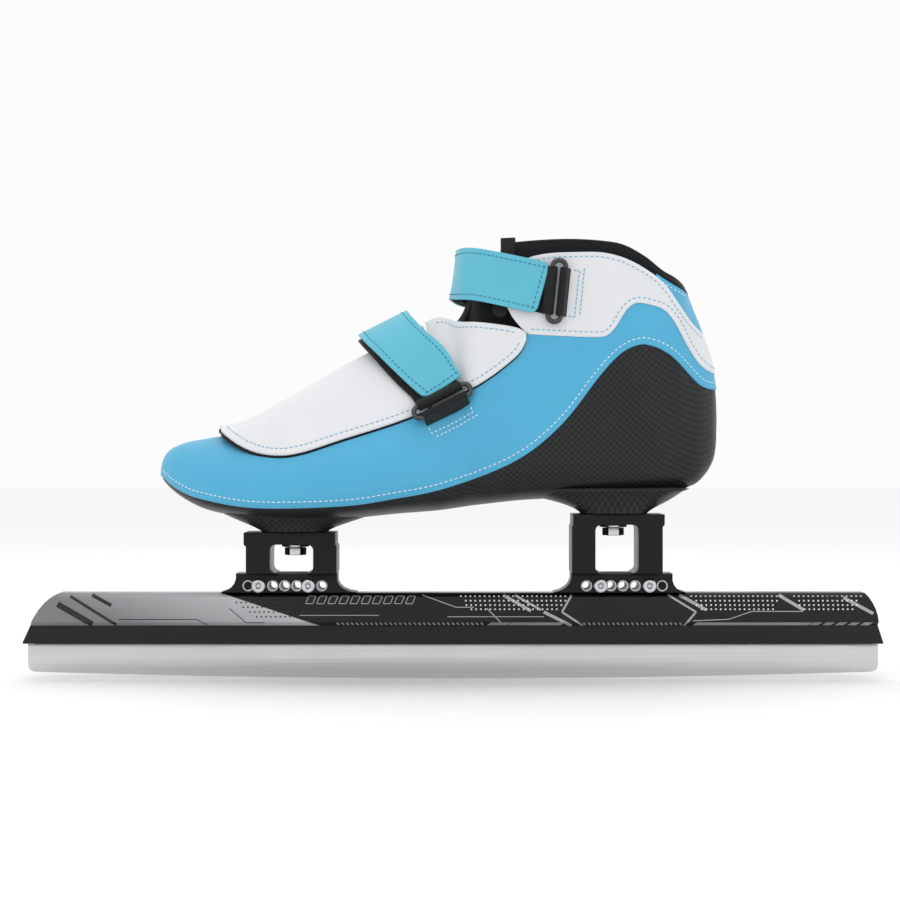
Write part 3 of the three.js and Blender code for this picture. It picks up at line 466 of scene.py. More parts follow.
@dataclass
class Panel:
    """A sheet of the upper that lies on the boot's form, between two side-view lines."""

    name: str
    x: Array
    low: Callable[[Array], Array]
    high: Callable[[Array], Array]
    outer: float
    inner: float
    sides: tuple[Side, ...] = tuple(Side)
    over: Over = Over.CROWN
    lap: float = 0.0  # how much of the lower border lies over the next panel
    lap_level: float = 0.05
    radius: float = 1.0
    ends: bool = False
    rows: int = 40
    lift: Callable[[Array], Array] | None = None

    def lines(self) -> Array:
        """Give the sheet's cross lines on the form, shape (columns, points, 3)."""
        low, high = self.low(self.x)[:, None], self.high(self.x)[:, None]
        high = np.maximum(low, high)
        f = np.linspace(0, 1, 80)[None]
        x = self.x[:, None]
        closed = high[:, 0] > 0.999  # the two sides meet over the crown
        if len(self.sides) == 1:
            line = FORM.point(x, low + (high - low) * f, self.sides[0])
            line[closed, -1, 1] = FORM.inset(self.x[closed])
            return line
        if self.over is Over.CROWN:
            near = FORM.point(x, low + (high - low) * f, Side.NEAR)
            far = FORM.point(x, high + (low - high) * f, Side.FAR)
        else:
            near = FORM.point(x, high + (low - high) * f, Side.NEAR)
            far = FORM.point(x, low + (high - low) * f, Side.FAR)
            near[closed, 0, 1] = far[closed, -1, 1] = FORM.inset(self.x[closed])
        return np.concatenate([near, far], axis=1)

    def grid(self) -> Array:
        """Space the cross lines evenly, with close rows at the borders: shape (rows, columns, 3)."""
        lines = self.lines()
        total = lengths(lines)[:, -1]
        f = np.linspace(0, 1, self.rows)[None]
        shrink = np.minimum(1, total / (4 * BORDER[-1]))[:, None]
        inside = BORDER[-1] * shrink
        middle = inside + (total[:, None] - 2 * inside) * f
        edge = BORDER[:-1][None] * shrink
        at = np.concatenate([edge, middle, total[:, None] - edge[:, ::-1]], axis=1)
        return np.moveaxis(resample(lines, at), 0, 1)

    def build(self) -> Piece:
        """Make the sheet with its thickness, its round borders and its lap."""
        base = self.grid()
        normal = FORM.normals(base)
        share = rim_shares(base, self.radius, self.ends)
        down = lengths_down(base)
        low = np.full(base.shape[:2], self.inner)
        if self.lap:
            two_borders = self.over is Over.CROWN and len(self.sides) == 2
            gap = np.minimum(down, down[-1:] - down) if two_borders else down
            low = self.lap_level + (self.inner - self.lap_level) * smooth_step((gap - self.lap) / 1.5)
        rise = self.lift(base) if self.lift else np.zeros(base.shape[:2])
        outer = base + normal * (low + (self.outer - low) * share + rise)[..., None]
        inner = base + normal * (low + rise)[..., None]
        middle = base[base.shape[0] // 2]
        along = lengths(middle[None])[0]
        uv = np.stack([np.broadcast_to(along, base.shape[:2]), down - down[-1:] / 2], -1)
        return shell(self.name, outer, inner, uv)


def ribbon(name: str, centre: Array, thickness: float, radius: float = 0.6, swell: float = 0.0) -> Piece:
    """Make a flat strap of webbing or sheet along given lines.

    Args:
        name: The piece's name.
        centre: Its middle, shape (lines across the width, points along, 3).
        thickness: Thickness of the strap.
        radius: How far in from its border it has its whole thickness.
        swell: How much thicker its middle is.

    Returns:
        The strap.
    """
    along = np.gradient(centre, axis=1)
    across = np.gradient(centre, axis=0)
    normal = unit_rows(np.cross(across, along))
    share = rim_shares(centre, radius, True) * thickness / 2
    if swell:
        share = share + swell * np.sin(np.linspace(0, np.pi, centre.shape[0]))[:, None] ** 0.5
        share[:, 0] = share[:, -1] = 0
    outer = centre + normal * share[..., None]
    inner = centre - normal * share[..., None]
    width = lengths(np.moveaxis(centre, 0, 1)[centre.shape[1] // 2][None])[0]
    way = lengths(centre[centre.shape[0] // 2][None])[0]
    uv = np.stack(np.broadcast_arrays(way[None], width[:, None]), -1)
    return shell(name, outer, inner, uv)


def tube_along(name: str, path: Array, radius: float, sides: int = 10, closed: bool = False) -> Piece:
    """Sweep a round wire or cord along a path.

    Args:
        name: The piece's name.
        path: Points of its centreline.
        radius: Its radius.
        sides: Sides of its section.
        closed: Whether it runs back into its start.

    Returns:
        The wire.
    """
    count = len(path)
    if closed:
        tangent = unit_rows(np.roll(path, -1, 0) - np.roll(path, 1, 0))
    else:
        tangent = unit_rows(np.gradient(path, axis=0))
    normal = np.empty_like(path)
    guide = np.cross(tangent[0], [0.3, 0.5, 0.8])
    for i, way in enumerate(tangent):
        guide = guide - way * (guide @ way)
        guide /= np.linalg.norm(guide)
        normal[i] = guide
    if closed:  # the section is turned a little at each step, so that the last ring meets the first
        side = np.cross(tangent[0], normal[0])
        end = normal[-1] - tangent[0] * (normal[-1] @ tangent[0])
        twist = math.atan2(end @ side, end @ normal[0])
        turn = -twist * np.arange(count) / count
        other = np.cross(tangent, normal)
        normal = normal * np.cos(turn)[:, None] + other * np.sin(turn)[:, None]
    other = np.cross(tangent, normal)
    angle = np.linspace(0, 2 * np.pi, sides, endpoint=False)
    ring = normal[:, None] * np.cos(angle)[None, :, None] + other[:, None] * np.sin(angle)[None, :, None]
    points = (path[:, None] + radius * ring).reshape(-1, 3)
    faces = []
    for i in range(count if closed else count - 1):
        j = (i + 1) % count
        for k in range(sides):
            m = (k + 1) % sides
            faces.append([i * sides + k, j * sides + k, j * sides + m, i * sides + m])
    if not closed:
        faces += [list(range(sides)), [(count - 1) * sides + k for k in range(sides)]]
    way = lengths(path[None])[0]
    uv = np.stack(np.broadcast_arrays(way[:, None], angle[None] * radius), -1).reshape(-1, 2)
    return new_object(name, points, faces, uv)


# ---------------------------------------------------------------- finishes
def to_linear(colour: str) -> tuple[float, float, float, float]:
    """Turn an sRGB hex colour to linear light."""
    parts = [int(colour[i:i + 2], 16) / 255 for i in (1, 3, 5)]
    linear = [c / 12.92 if c <= 0.04045 else ((c + 0.055) / 1.055) ** 2.4 for c in parts]
    return (*linear, 1.0)


def add_node(tree: Tree, kind: str, links: dict[Any, Any] | None = None, **settings: Any) -> Node:
    """Add a node to a tree.

    Args:
        tree: The tree.
        kind: The node's type.
        links: For each input, a value or an output socket to link.
        settings: The node's own properties.

    Returns:
        The node.
    """
    node = tree.nodes.new(kind)
    for key, value in settings.items():
        setattr(node, key, value)
    for key, value in (links or {}).items():
        if isinstance(value, Socket):
            tree.links.new(value, node.inputs[key])
        else:
            node.inputs[key].default_value = value
    return node


def maths(tree: Tree, kind: str, *values: Any) -> Socket:
    """Do one sum in a shader."""
    return add_node(tree, "ShaderNodeMath", dict(enumerate(values)), operation=kind).outputs[0]


def mixed(tree: Tree, share: Any, first: str | Socket, second: str | Socket) -> Socket:
    """Mix two colours by a share; each is a hex colour or a socket."""
    ends = [to_linear(colour) if isinstance(colour, str) else colour for colour in (first, second)]
    return add_node(tree, "ShaderNodeMix", {0: share, 6: ends[0], 7: ends[1]}, data_type="RGBA").outputs[2]


@dataclass(frozen=True)
class Finish:
    """What every finish shares: a name, two shades that drift into each other, and gloss."""

    name: str
    shade: str
    other: str
    rough: float = 0.55
    rough_drift: float = 0.06
    metal: float = 0.0
    coat: float = 0.0
    coat_rough: float = 0.08
    sheen: float = 0.0
    specular: float = 0.5
    drift: float = 25.0  # mm over which the shade wanders
    bump: float = 0.1
    depth: float = 0.0001

    def make(self) -> bpy.types.Material:
        """Build the material with its shader, shade, gloss and relief."""
        material = bpy.data.materials.new(self.name)
        material.use_nodes = True
        tree = material.node_tree
        tree.nodes.clear()
        out = add_node(tree, "ShaderNodeOutputMaterial")
        shader = add_node(tree, "ShaderNodeBsdfPrincipled", {
            "Metallic": self.metal, "Coat Weight": self.coat, "Coat Roughness": self.coat_rough,
            "Sheen Weight": self.sheen, "Sheen Roughness": 0.5, "Specular IOR Level": self.specular})
        tree.links.new(shader.outputs[0], out.inputs[0])
        place = add_node(tree, "ShaderNodeTexCoord")
        cloud = add_node(tree, "ShaderNodeTexNoise", {
            "Vector": place.outputs["Object"], "Scale": 1000 / self.drift, "Detail": 3.0})
        colour, relief = self.pattern(tree, place, cloud.outputs[0])
        tree.links.new(colour, shader.inputs["Base Color"])
        rough = add_node(tree, "ShaderNodeMapRange", {
            "Value": cloud.outputs[0], "From Min": 0.3, "From Max": 0.7,
            "To Min": self.rough - self.rough_drift, "To Max": self.rough + self.rough_drift})
        tree.links.new(rough.outputs[0], shader.inputs["Roughness"])
        if relief is not None:
            bump = add_node(tree, "ShaderNodeBump", {
                "Height": relief, "Strength": self.bump, "Distance": self.depth})
            tree.links.new(bump.outputs[0], shader.inputs["Normal"])
        self.finish(tree, shader)
        return material

    def pattern(self, tree: Tree, place: Node, cloud: Socket) -> Look:
        """Give the colour and the relief of a plain, finely rough surface."""
        fine = add_node(tree, "ShaderNodeTexNoise", {
            "Vector": place.outputs["Object"], "Scale": 2200.0, "Detail": 2.0})
        return mixed(tree, cloud, self.shade, self.other), fine.outputs[0]

    def finish(self, tree: Tree, shader: Node) -> None:
        """Leave the shader as it is; finishes with more to set do it here."""


@dataclass(frozen=True)
class Microfibre(Finish):
    """Coated microfibre, embossed with a fine leather grain: a soft satin with tiny pebbles."""

    grain: float = 0.9  # mm across a pebble; the real ones are near 0.5, too fine to show

    def pattern(self, tree: Tree, place: Node, cloud: Socket) -> Look:
        """Give drifting shade and pebbled relief."""
        pebble = add_node(tree, "ShaderNodeTexVoronoi", {
            "Vector": place.outputs["Object"], "Scale": 1000 / self.grain}, feature="SMOOTH_F1")
        fine = add_node(tree, "ShaderNodeTexNoise", {
            "Vector": place.outputs["Object"], "Scale": 900.0, "Detail": 4.0})
        relief = maths(tree, "ADD", pebble.outputs[0], fine.outputs[0])
        return mixed(tree, cloud, self.shade, self.other), relief


@dataclass(frozen=True)
class CarbonWeave(Finish):
    """Carbon cloth in clear resin, under a soft gloss: checks of bundles painted dark and grey in turn, the
    grey a painted glint for the light that every other bundle catches, and each bundle painted darker towards
    its edges as painted shade.
    """

    tow: float = 1.6  # mm across a bundle; the real ones are near 1, too fine to show
    # the dark colour between bundles, which the painted shade at each bundle's edge darkens towards
    gap: str = "#08090A"
    # how far each bundle's edge is painted towards the gap colour: painted shade where the rounded bundle
    # dips
    gap_shade: float = 0.7

    def pattern(self, tree: Tree, place: Node, cloud: Socket) -> Look:
        """Give a plain weave along the sheet's own lines, with the painted glint on every other bundle and
        painted shade at the bundles' edges.
        """
        uv = add_node(tree, "ShaderNodeUVMap", uv_map="UVMap")
        scaled = add_node(tree, "ShaderNodeMapping", {
            "Vector": uv.outputs[0], "Scale": (1 / self.tow, 1 / self.tow, 1)})
        places = add_node(tree, "ShaderNodeSeparateXYZ", {0: scaled.outputs[0]}).outputs
        cells = maths(tree, "ADD", *(maths(tree, "FLOOR", places[k]) for k in (0, 1)))
        turn = maths(tree, "LESS_THAN", maths(tree, "FLOORED_MODULO", cells, 2.0), 0.5)
        middles = [maths(tree, "SUBTRACT", maths(tree, "FRACT", places[k]), 0.5) for k in (0, 1)]
        across = [maths(tree, "ABSOLUTE", middle) for middle in middles]
        crown = add_node(tree, "ShaderNodeMix", {0: turn, 2: across[0], 3: across[1]}).outputs[0]
        relief = maths(tree, "SUBTRACT", 0.5, maths(tree, "MULTIPLY", crown, crown))
        # painted glint: every other bundle takes the lighter colour, standing for the light it catches
        painted_glint_bundles = mixed(tree, turn, self.shade, self.other)
        # painted shade: darker from each bundle's middle towards its edges
        painted_edge_shade = maths(tree, "SUBTRACT", 1.0, maths(tree, "MULTIPLY", crown, self.gap_shade))
        return mixed(tree, painted_edge_shade, self.gap, painted_glint_bundles), relief


@dataclass(frozen=True)
class Weave(Finish):
    """Woven or knitted yarn: fine ribs both ways, matt, with a little fuzz; its colour is painted lighter on
    the crests as painted sheen and darker in the hollows as painted shade.
    """

    rib: float = 1.1  # mm between ribs
    cross: float = 1.5

    def pattern(self, tree: Tree, place: Node, cloud: Socket) -> Look:
        """Give ribs along and across the sheet's own lines, coloured by their relief: painted sheen on the
        crests, painted shade in the hollows.
        """
        uv = add_node(tree, "ShaderNodeUVMap", uv_map="UVMap")
        parts = add_node(tree, "ShaderNodeSeparateXYZ", {0: uv.outputs[0]})
        waves = []
        for axis, pitch in ((0, self.rib), (1, self.cross)):
            turn = maths(tree, "MULTIPLY", parts.outputs[axis], 2 * math.pi / pitch)
            waves.append(maths(tree, "SINE", turn))
        both = maths(tree, "MULTIPLY", *waves)
        # painted light: the colour follows the relief, lighter on the rib crests as painted sheen and darker
        # in the hollows as painted shade
        share = add_node(tree, "ShaderNodeMapRange", {
            "Value": both, "From Min": -1.0, "From Max": 1.0, "To Min": 0.0, "To Max": 1.0}).outputs[0]
        return mixed(tree, share, self.shade, self.other), both


@dataclass(frozen=True)
class BrushedMetal(Finish):
    """Ground or brushed metal: hair lines along its length that draw the highlight out."""

    stretch: tuple[float, float, float] = (12, 900, 2600)
    anisotropic: float = 0.5

    def pattern(self, tree: Tree, place: Node, cloud: Socket) -> Look:
        """Give long thin lines along X."""
        lines = add_node(tree, "ShaderNodeMapping", {
            "Vector": place.outputs["Object"], "Scale": self.stretch})
        hair = add_node(tree, "ShaderNodeTexNoise", {
            "Vector": lines.outputs[0], "Scale": 1.0, "Detail": 3.0})
        return mixed(tree, hair.outputs[0], self.shade, self.other), hair.outputs[0]

    def finish(self, tree: Tree, shader: Node) -> None:
        """Draw the highlight out across the lines."""
        shader.inputs["Anisotropic"].default_value = self.anisotropic


@dataclass(frozen=True)
class PrintedTube(Finish):
    """Black anodised extrusion with a silver field that fades in between two slanted lines."""

    silver: str = "#B4B6B8"
    grey: str = "#77797B"
    field_from: float = -0.2900
    field_to: float = -0.1983
    slope: float = -3.0  # metres of x for each metre of z
    top: float = -0.0564
    jaws: float = -0.0728

    def pattern(self, tree: Tree, place: Node, cloud: Socket) -> Look:
        """Give the silver field on the tube's sides, above its jaws."""
        x, _, z = add_node(tree, "ShaderNodeSeparateXYZ", {0: place.outputs["Object"]}).outputs
        slant = maths(tree, "MULTIPLY_ADD", z, -self.slope, x)
        edge = self.field_to - self.slope * self.top
        left = self.field_from - self.slope * self.top
        inside = maths(tree, "LESS_THAN", slant, edge)
        both = maths(tree, "MULTIPLY", inside, maths(tree, "GREATER_THAN", z, self.jaws))
        fade = add_node(tree, "ShaderNodeMapRange", {
            "Value": slant, "From Min": left, "From Max": edge, "To Min": 0.0, "To Max": 1.0}).outputs[0]
        print_colour = mixed(tree, fade, self.grey, self.silver)
        black = mixed(tree, cloud, self.shade, self.other)
        fine = add_node(tree, "ShaderNodeTexNoise", {"Vector": place.outputs["Object"], "Scale": 2600.0})
        return mixed(tree, both, black, print_colour), fine.outputs[0]


class Shelf:
    """Makes each finish once and hands it out by name."""

    def __init__(self, finishes: Sequence[Finish]) -> None:
        """Keep the finishes."""
        self.finishes = {finish.name: finish for finish in finishes}
        self.made: dict[str, bpy.types.Material] = {}

    def get(self, name: str) -> bpy.types.Material:
        """Give the material of that name."""
        if name not in self.made:
            self.made[name] = self.finishes[name].make()
        return self.made[name]


SHELF = Shelf([
    # sky blue coated microfibre: even, satin, slightly darker where it curves
    Microfibre("blue_microfibre", "#3FA2CA", "#4DADD3", 0.52, sheen=0.1, bump=0.16),
    # the straps' lighter microfibre
    Microfibre("strap_microfibre", "#4FAFC6", "#5AB7CC", 0.55, sheen=0.1, bump=0.14),
    # white coated microfibre, a little cool
    Microfibre("white_microfibre", "#D6D8DB", "#DFE1E3", 0.5, sheen=0.05, bump=0.18),
    # clear-coated plain weave: dark bundles, every other one painted grey as a painted glint
    CarbonWeave("carbon_weave", "#040506", "#1E2426", 0.5, coat=0.1, coat_rough=0.2, specular=0.3,
                bump=0.45, depth=0.0003),
    # brushed knit over foam: soft black with small loops
    Weave("collar_knit", "#08090A", "#15171A", 0.92, sheen=0.12, bump=0.5, depth=0.0003, rib=1.3,
          cross=1.3, specular=0.2),
    # black nylon webbing: ribs across its length, with a soft shine and a painted sheen on their crests
    Weave("nylon_webbing", "#050506", "#121314", 0.62, sheen=0.06, bump=0.6, depth=0.0003, rib=1.0,
          cross=1.8, specular=0.3),
    # braided polyester lace: pale grey plaits in a crossed pattern, with painted shade in the hollows between
    # them
    Weave("lace_braid", "#8F949A", "#D4D7DB", 0.8, bump=0.7, depth=0.0003, rib=1.2, cross=1.2),
    # pressed wool felt over foam: flat grey with soft lumps
    Finish("insole_felt", "#3C4044", "#4A4E52", 0.95, sheen=0.4, bump=0.6, depth=0.0004, drift=4),
    # powder-coated steel wire: glossy black that shows a bright line
    Finish("black_wire", "#060607", "#0B0C0D", 0.28, metal=0.0, coat=0.8, bump=0.05),
    # black anodised aluminium, bead blasted: dark satin metal
    Finish("black_anodised", "#0D0E0F", "#151617", 0.42, metal=0.75, bump=0.08, coat=0.15, coat_rough=0.3),
    # black anodised extrusion under a printed silver field: smooth, with a soft shine
    PrintedTube("printed_anodised", "#070809", "#0B0C0D", 0.36, metal=0.0, bump=0.05, specular=0.32),
    # ground carbon steel: bright, with hair lines along its length
    BrushedMetal("brushed_steel", "#BDBEBF", "#DADBDC", 0.34, metal=0.9, bump=0.12),
    # zinc-plated hexagon heads and screws: clear bright metal, faintly mottled
    BrushedMetal("zinc_plate", "#B7B9BC", "#DCDEE0", 0.28, metal=1.0, bump=0.05, stretch=(700, 700, 700),
                 anisotropic=0.0),
    # bare metal where a hole's edge was countersunk: a bright thin ring
    BrushedMetal("turned_edge", "#9FA1A3", "#C9CBCD", 0.3, metal=1.0, bump=0.05, stretch=(900, 900, 900),
                 anisotropic=0.0),
    # moulded rubber: dull black with a rough skin
    Finish("plug_rubber", "#141516", "#1C1D1E", 0.85, bump=0.3),
    # bonded nylon thread in three colours: a slight shine on each stitch
    Finish("white_thread", "#E4E8EC", "#F4F6F8", 0.6, bump=0.2, drift=2),
    Finish("pale_blue_thread", "#4FA9CE", "#68B7D6", 0.6, bump=0.2, drift=2),
    Finish("dark_blue_thread", "#15547C", "#236A94", 0.6, bump=0.2, drift=2),
    # screen-printed inks on the tube: thin, flat and satin
    Finish("silver_ink", "#9A9C9E", "#ABADAF", 0.4, metal=0.3, bump=0.05),
    Finish("white_ink", "#D6D8DA", "#E2E4E6", 0.5, bump=0.05),
    Finish("black_ink", "#0B0C0D", "#101112", 0.45, bump=0.05),
    # painted studio floor: matt and almost white
    Finish("studio_floor", "#F8F8F8", "#FAFAFA", 0.8, bump=0.0),
])


def dress(piece: Piece, finish: str, body: str = "boot",
          stands_for: Sequence[str] = ()) -> Piece:
    """Give a piece its finish and its place in the assembly.

    Args:
        piece: The piece, finished.
        finish: The name of its finish.
        body: The CAD body it moves with; an empty name leaves that to the caller.
        stands_for: The CAD nodes that it replaces.

    Returns:
        The piece.
    """
    piece.data.materials.clear()
    piece.data.materials.append(SHELF.get(finish))
    if stands_for:
        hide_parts(*stands_for)
    if body:
        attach(piece, body)
    log.info("%s: %d faces, %s", piece.name, len(piece.data.polygons), finish)
    return piece


# ---------------------------------------------------------------- stitches and dots
class Repeater:
    """Geometry Nodes that set a small shape again and again along lines or on points."""

    def __init__(self) -> None:
        """Start with no trees."""
        self.trees: dict[Kind, Tree] = {}

    def tree(self, kind: Kind) -> Tree:
        """Build the tree of a kind, once.

        Args:
            kind: What the tree repeats.

        Returns:
            The tree, with its inputs Pitch, Length, Radius and Material.
        """
        if kind in self.trees:
            return self.trees[kind]
        tree = bpy.data.node_groups.new(f"{kind.value}_row", "GeometryNodeTree")
        face = tree.interface
        face.new_socket("Geometry", in_out="INPUT", socket_type="NodeSocketGeometry")
        for name in ("Pitch", "Length", "Radius"):
            face.new_socket(name, in_out="INPUT", socket_type="NodeSocketFloat")
        face.new_socket("Material", in_out="INPUT", socket_type="NodeSocketMaterial")
        face.new_socket("Geometry", in_out="OUTPUT", socket_type="NodeSocketGeometry")
        given = add_node(tree, "NodeGroupInput")
        if kind is Kind.STITCH:
            curve = add_node(tree, "GeometryNodeMeshToCurve", {0: given.outputs[0]})
            points = add_node(tree, "GeometryNodeResampleCurve", {
                "Curve": curve.outputs[0], "Length": given.outputs["Pitch"]}, mode="LENGTH").outputs[0]
            tangent = add_node(tree, "GeometryNodeInputTangent").outputs[0]
            turn = add_node(tree, "FunctionNodeAlignRotationToVector", {
                "Vector": tangent}, axis="X").outputs[0]
            ball = add_node(tree, "GeometryNodeMeshUVSphere", {"Segments": 6, "Rings": 5, "Radius": 0.5})
            size = add_node(tree, "ShaderNodeCombineXYZ", {
                0: given.outputs["Length"], 1: given.outputs["Radius"], 2: given.outputs["Radius"]})
            shape = add_node(tree, "GeometryNodeTransform", {
                "Geometry": ball.outputs[0], "Scale": size.outputs[0]}).outputs[0]
        else:
            points = given.outputs[0]
            turn = (math.pi / 2, 0, 0)
            disc = add_node(tree, "GeometryNodeMeshCylinder", {
                "Vertices": 8, "Radius": given.outputs["Radius"], "Depth": given.outputs["Length"]})
            shape = disc.outputs[0]
        many = add_node(tree, "GeometryNodeInstanceOnPoints", {
            "Points": points, "Instance": shape, "Rotation": turn})
        real = add_node(tree, "GeometryNodeRealizeInstances", {0: many.outputs[0]})
        smooth = add_node(tree, "GeometryNodeSetShadeSmooth", {
            0: real.outputs[0], "Shade Smooth": kind is Kind.STITCH})
        painted = add_node(tree, "GeometryNodeSetMaterial", {
            "Geometry": smooth.outputs[0], "Material": given.outputs["Material"]})
        add_node(tree, "NodeGroupOutput", {0: painted.outputs[0]})
        self.trees[kind] = tree
        return tree

    def row(self, name: str, kind: Kind, lines: Sequence[Array], pitch: float, length: float, radius: float,
            finish: str, body: str = "boot") -> Piece:
        """Set a shape along lines or on points, and keep the result as a plain mesh.

        Args:
            name: The piece's name.
            kind: What it repeats.
            lines: Lines of points in millimetres; dots sit on the points.
            pitch: Distance from one stitch to the next.
            length: A stitch's length, or a dot's thickness.
            radius: A stitch's thickness, or a dot's radius.
            finish: The thread's or ink's finish.
            body: The CAD body it moves with.

        Returns:
            The finished piece.
        """
        points, edges = [], []
        for line in lines:
            base = len(points)
            points += (np.asarray(line) * MM).tolist()
            if kind is Kind.STITCH:
                edges += [(base + i, base + i + 1) for i in range(len(line) - 1)]
        mesh = bpy.data.meshes.new(f"{name}_line")
        mesh.from_pydata(points, edges, [])
        guide = bpy.data.objects.new(f"{name}_line", mesh)
        bpy.context.scene.collection.objects.link(guide)
        modifier = guide.modifiers.new("row", "NODES")
        tree = self.tree(kind)
        modifier.node_group = tree
        values = {"Pitch": pitch * MM, "Length": length * MM, "Radius": radius * MM,
                  "Material": SHELF.get(finish)}
        for item in tree.interface.items_tree:
            if item.item_type == "SOCKET" and item.in_out == "INPUT" and item.name in values:
                modifier[item.identifier] = values[item.name]
        bpy.context.view_layer.update()
        shaped = guide.evaluated_get(bpy.context.evaluated_depsgraph_get())
        made = bpy.data.objects.new(name, bpy.data.meshes.new_from_object(shaped))
        bpy.data.objects.remove(guide)
        bpy.context.scene.collection.objects.link(made)
        return dress(made, finish, body)


REPEATER = Repeater()


def on_form(line: Array, side: Side, level: float, lift: Callable[[Array], Array] | None = None) -> Array:
    """Lay a side-view line on the boot's side.

    Args:
        line: Points (x, z).
        side: The boot's side.
        level: Height above the form.
        lift: More height, from the point.

    Returns:
        Points in millimetres.
    """
    way = lengths(line[None])[0]
    at = np.arange(0, way[-1], 0.8)
    x, z = np.interp(at, way, line[:, 0]), np.interp(at, way, line[:, 1])
    base = FORM.point(x, FORM.up_at(x, z), side)
    height = level + (lift(base) if lift else 0)
    return base + FORM.normals(base) * np.reshape(height, (-1, 1))


def moved(line: Array, distance: float) -> Array:
    """Move a side-view line to its left by a distance."""
    way = unit_rows(np.gradient(line, axis=0))
    return line + distance * np.stack([-way[:, 1], way[:, 0]], -1)


def cut(line: Array, from_x: float, to_x: float) -> Array:
    """Keep the part of a line between two places."""
    return line[(line[:, 0] >= from_x) & (line[:, 0] <= to_x)]


# ---------------------------------------------------------------- the boot's shell and upper
TOE, HEEL = STATIONS[0][0] + 0.02, STATIONS[-1][0] - 0.02
ALL_X = np.unique(np.concatenate([
    TOE + 12 * np.linspace(0, 1, 16) ** 2, np.arange(-218, 40, 2.0),
    HEEL - 12.4 * np.linspace(1, 0, 26) ** 2.2]))


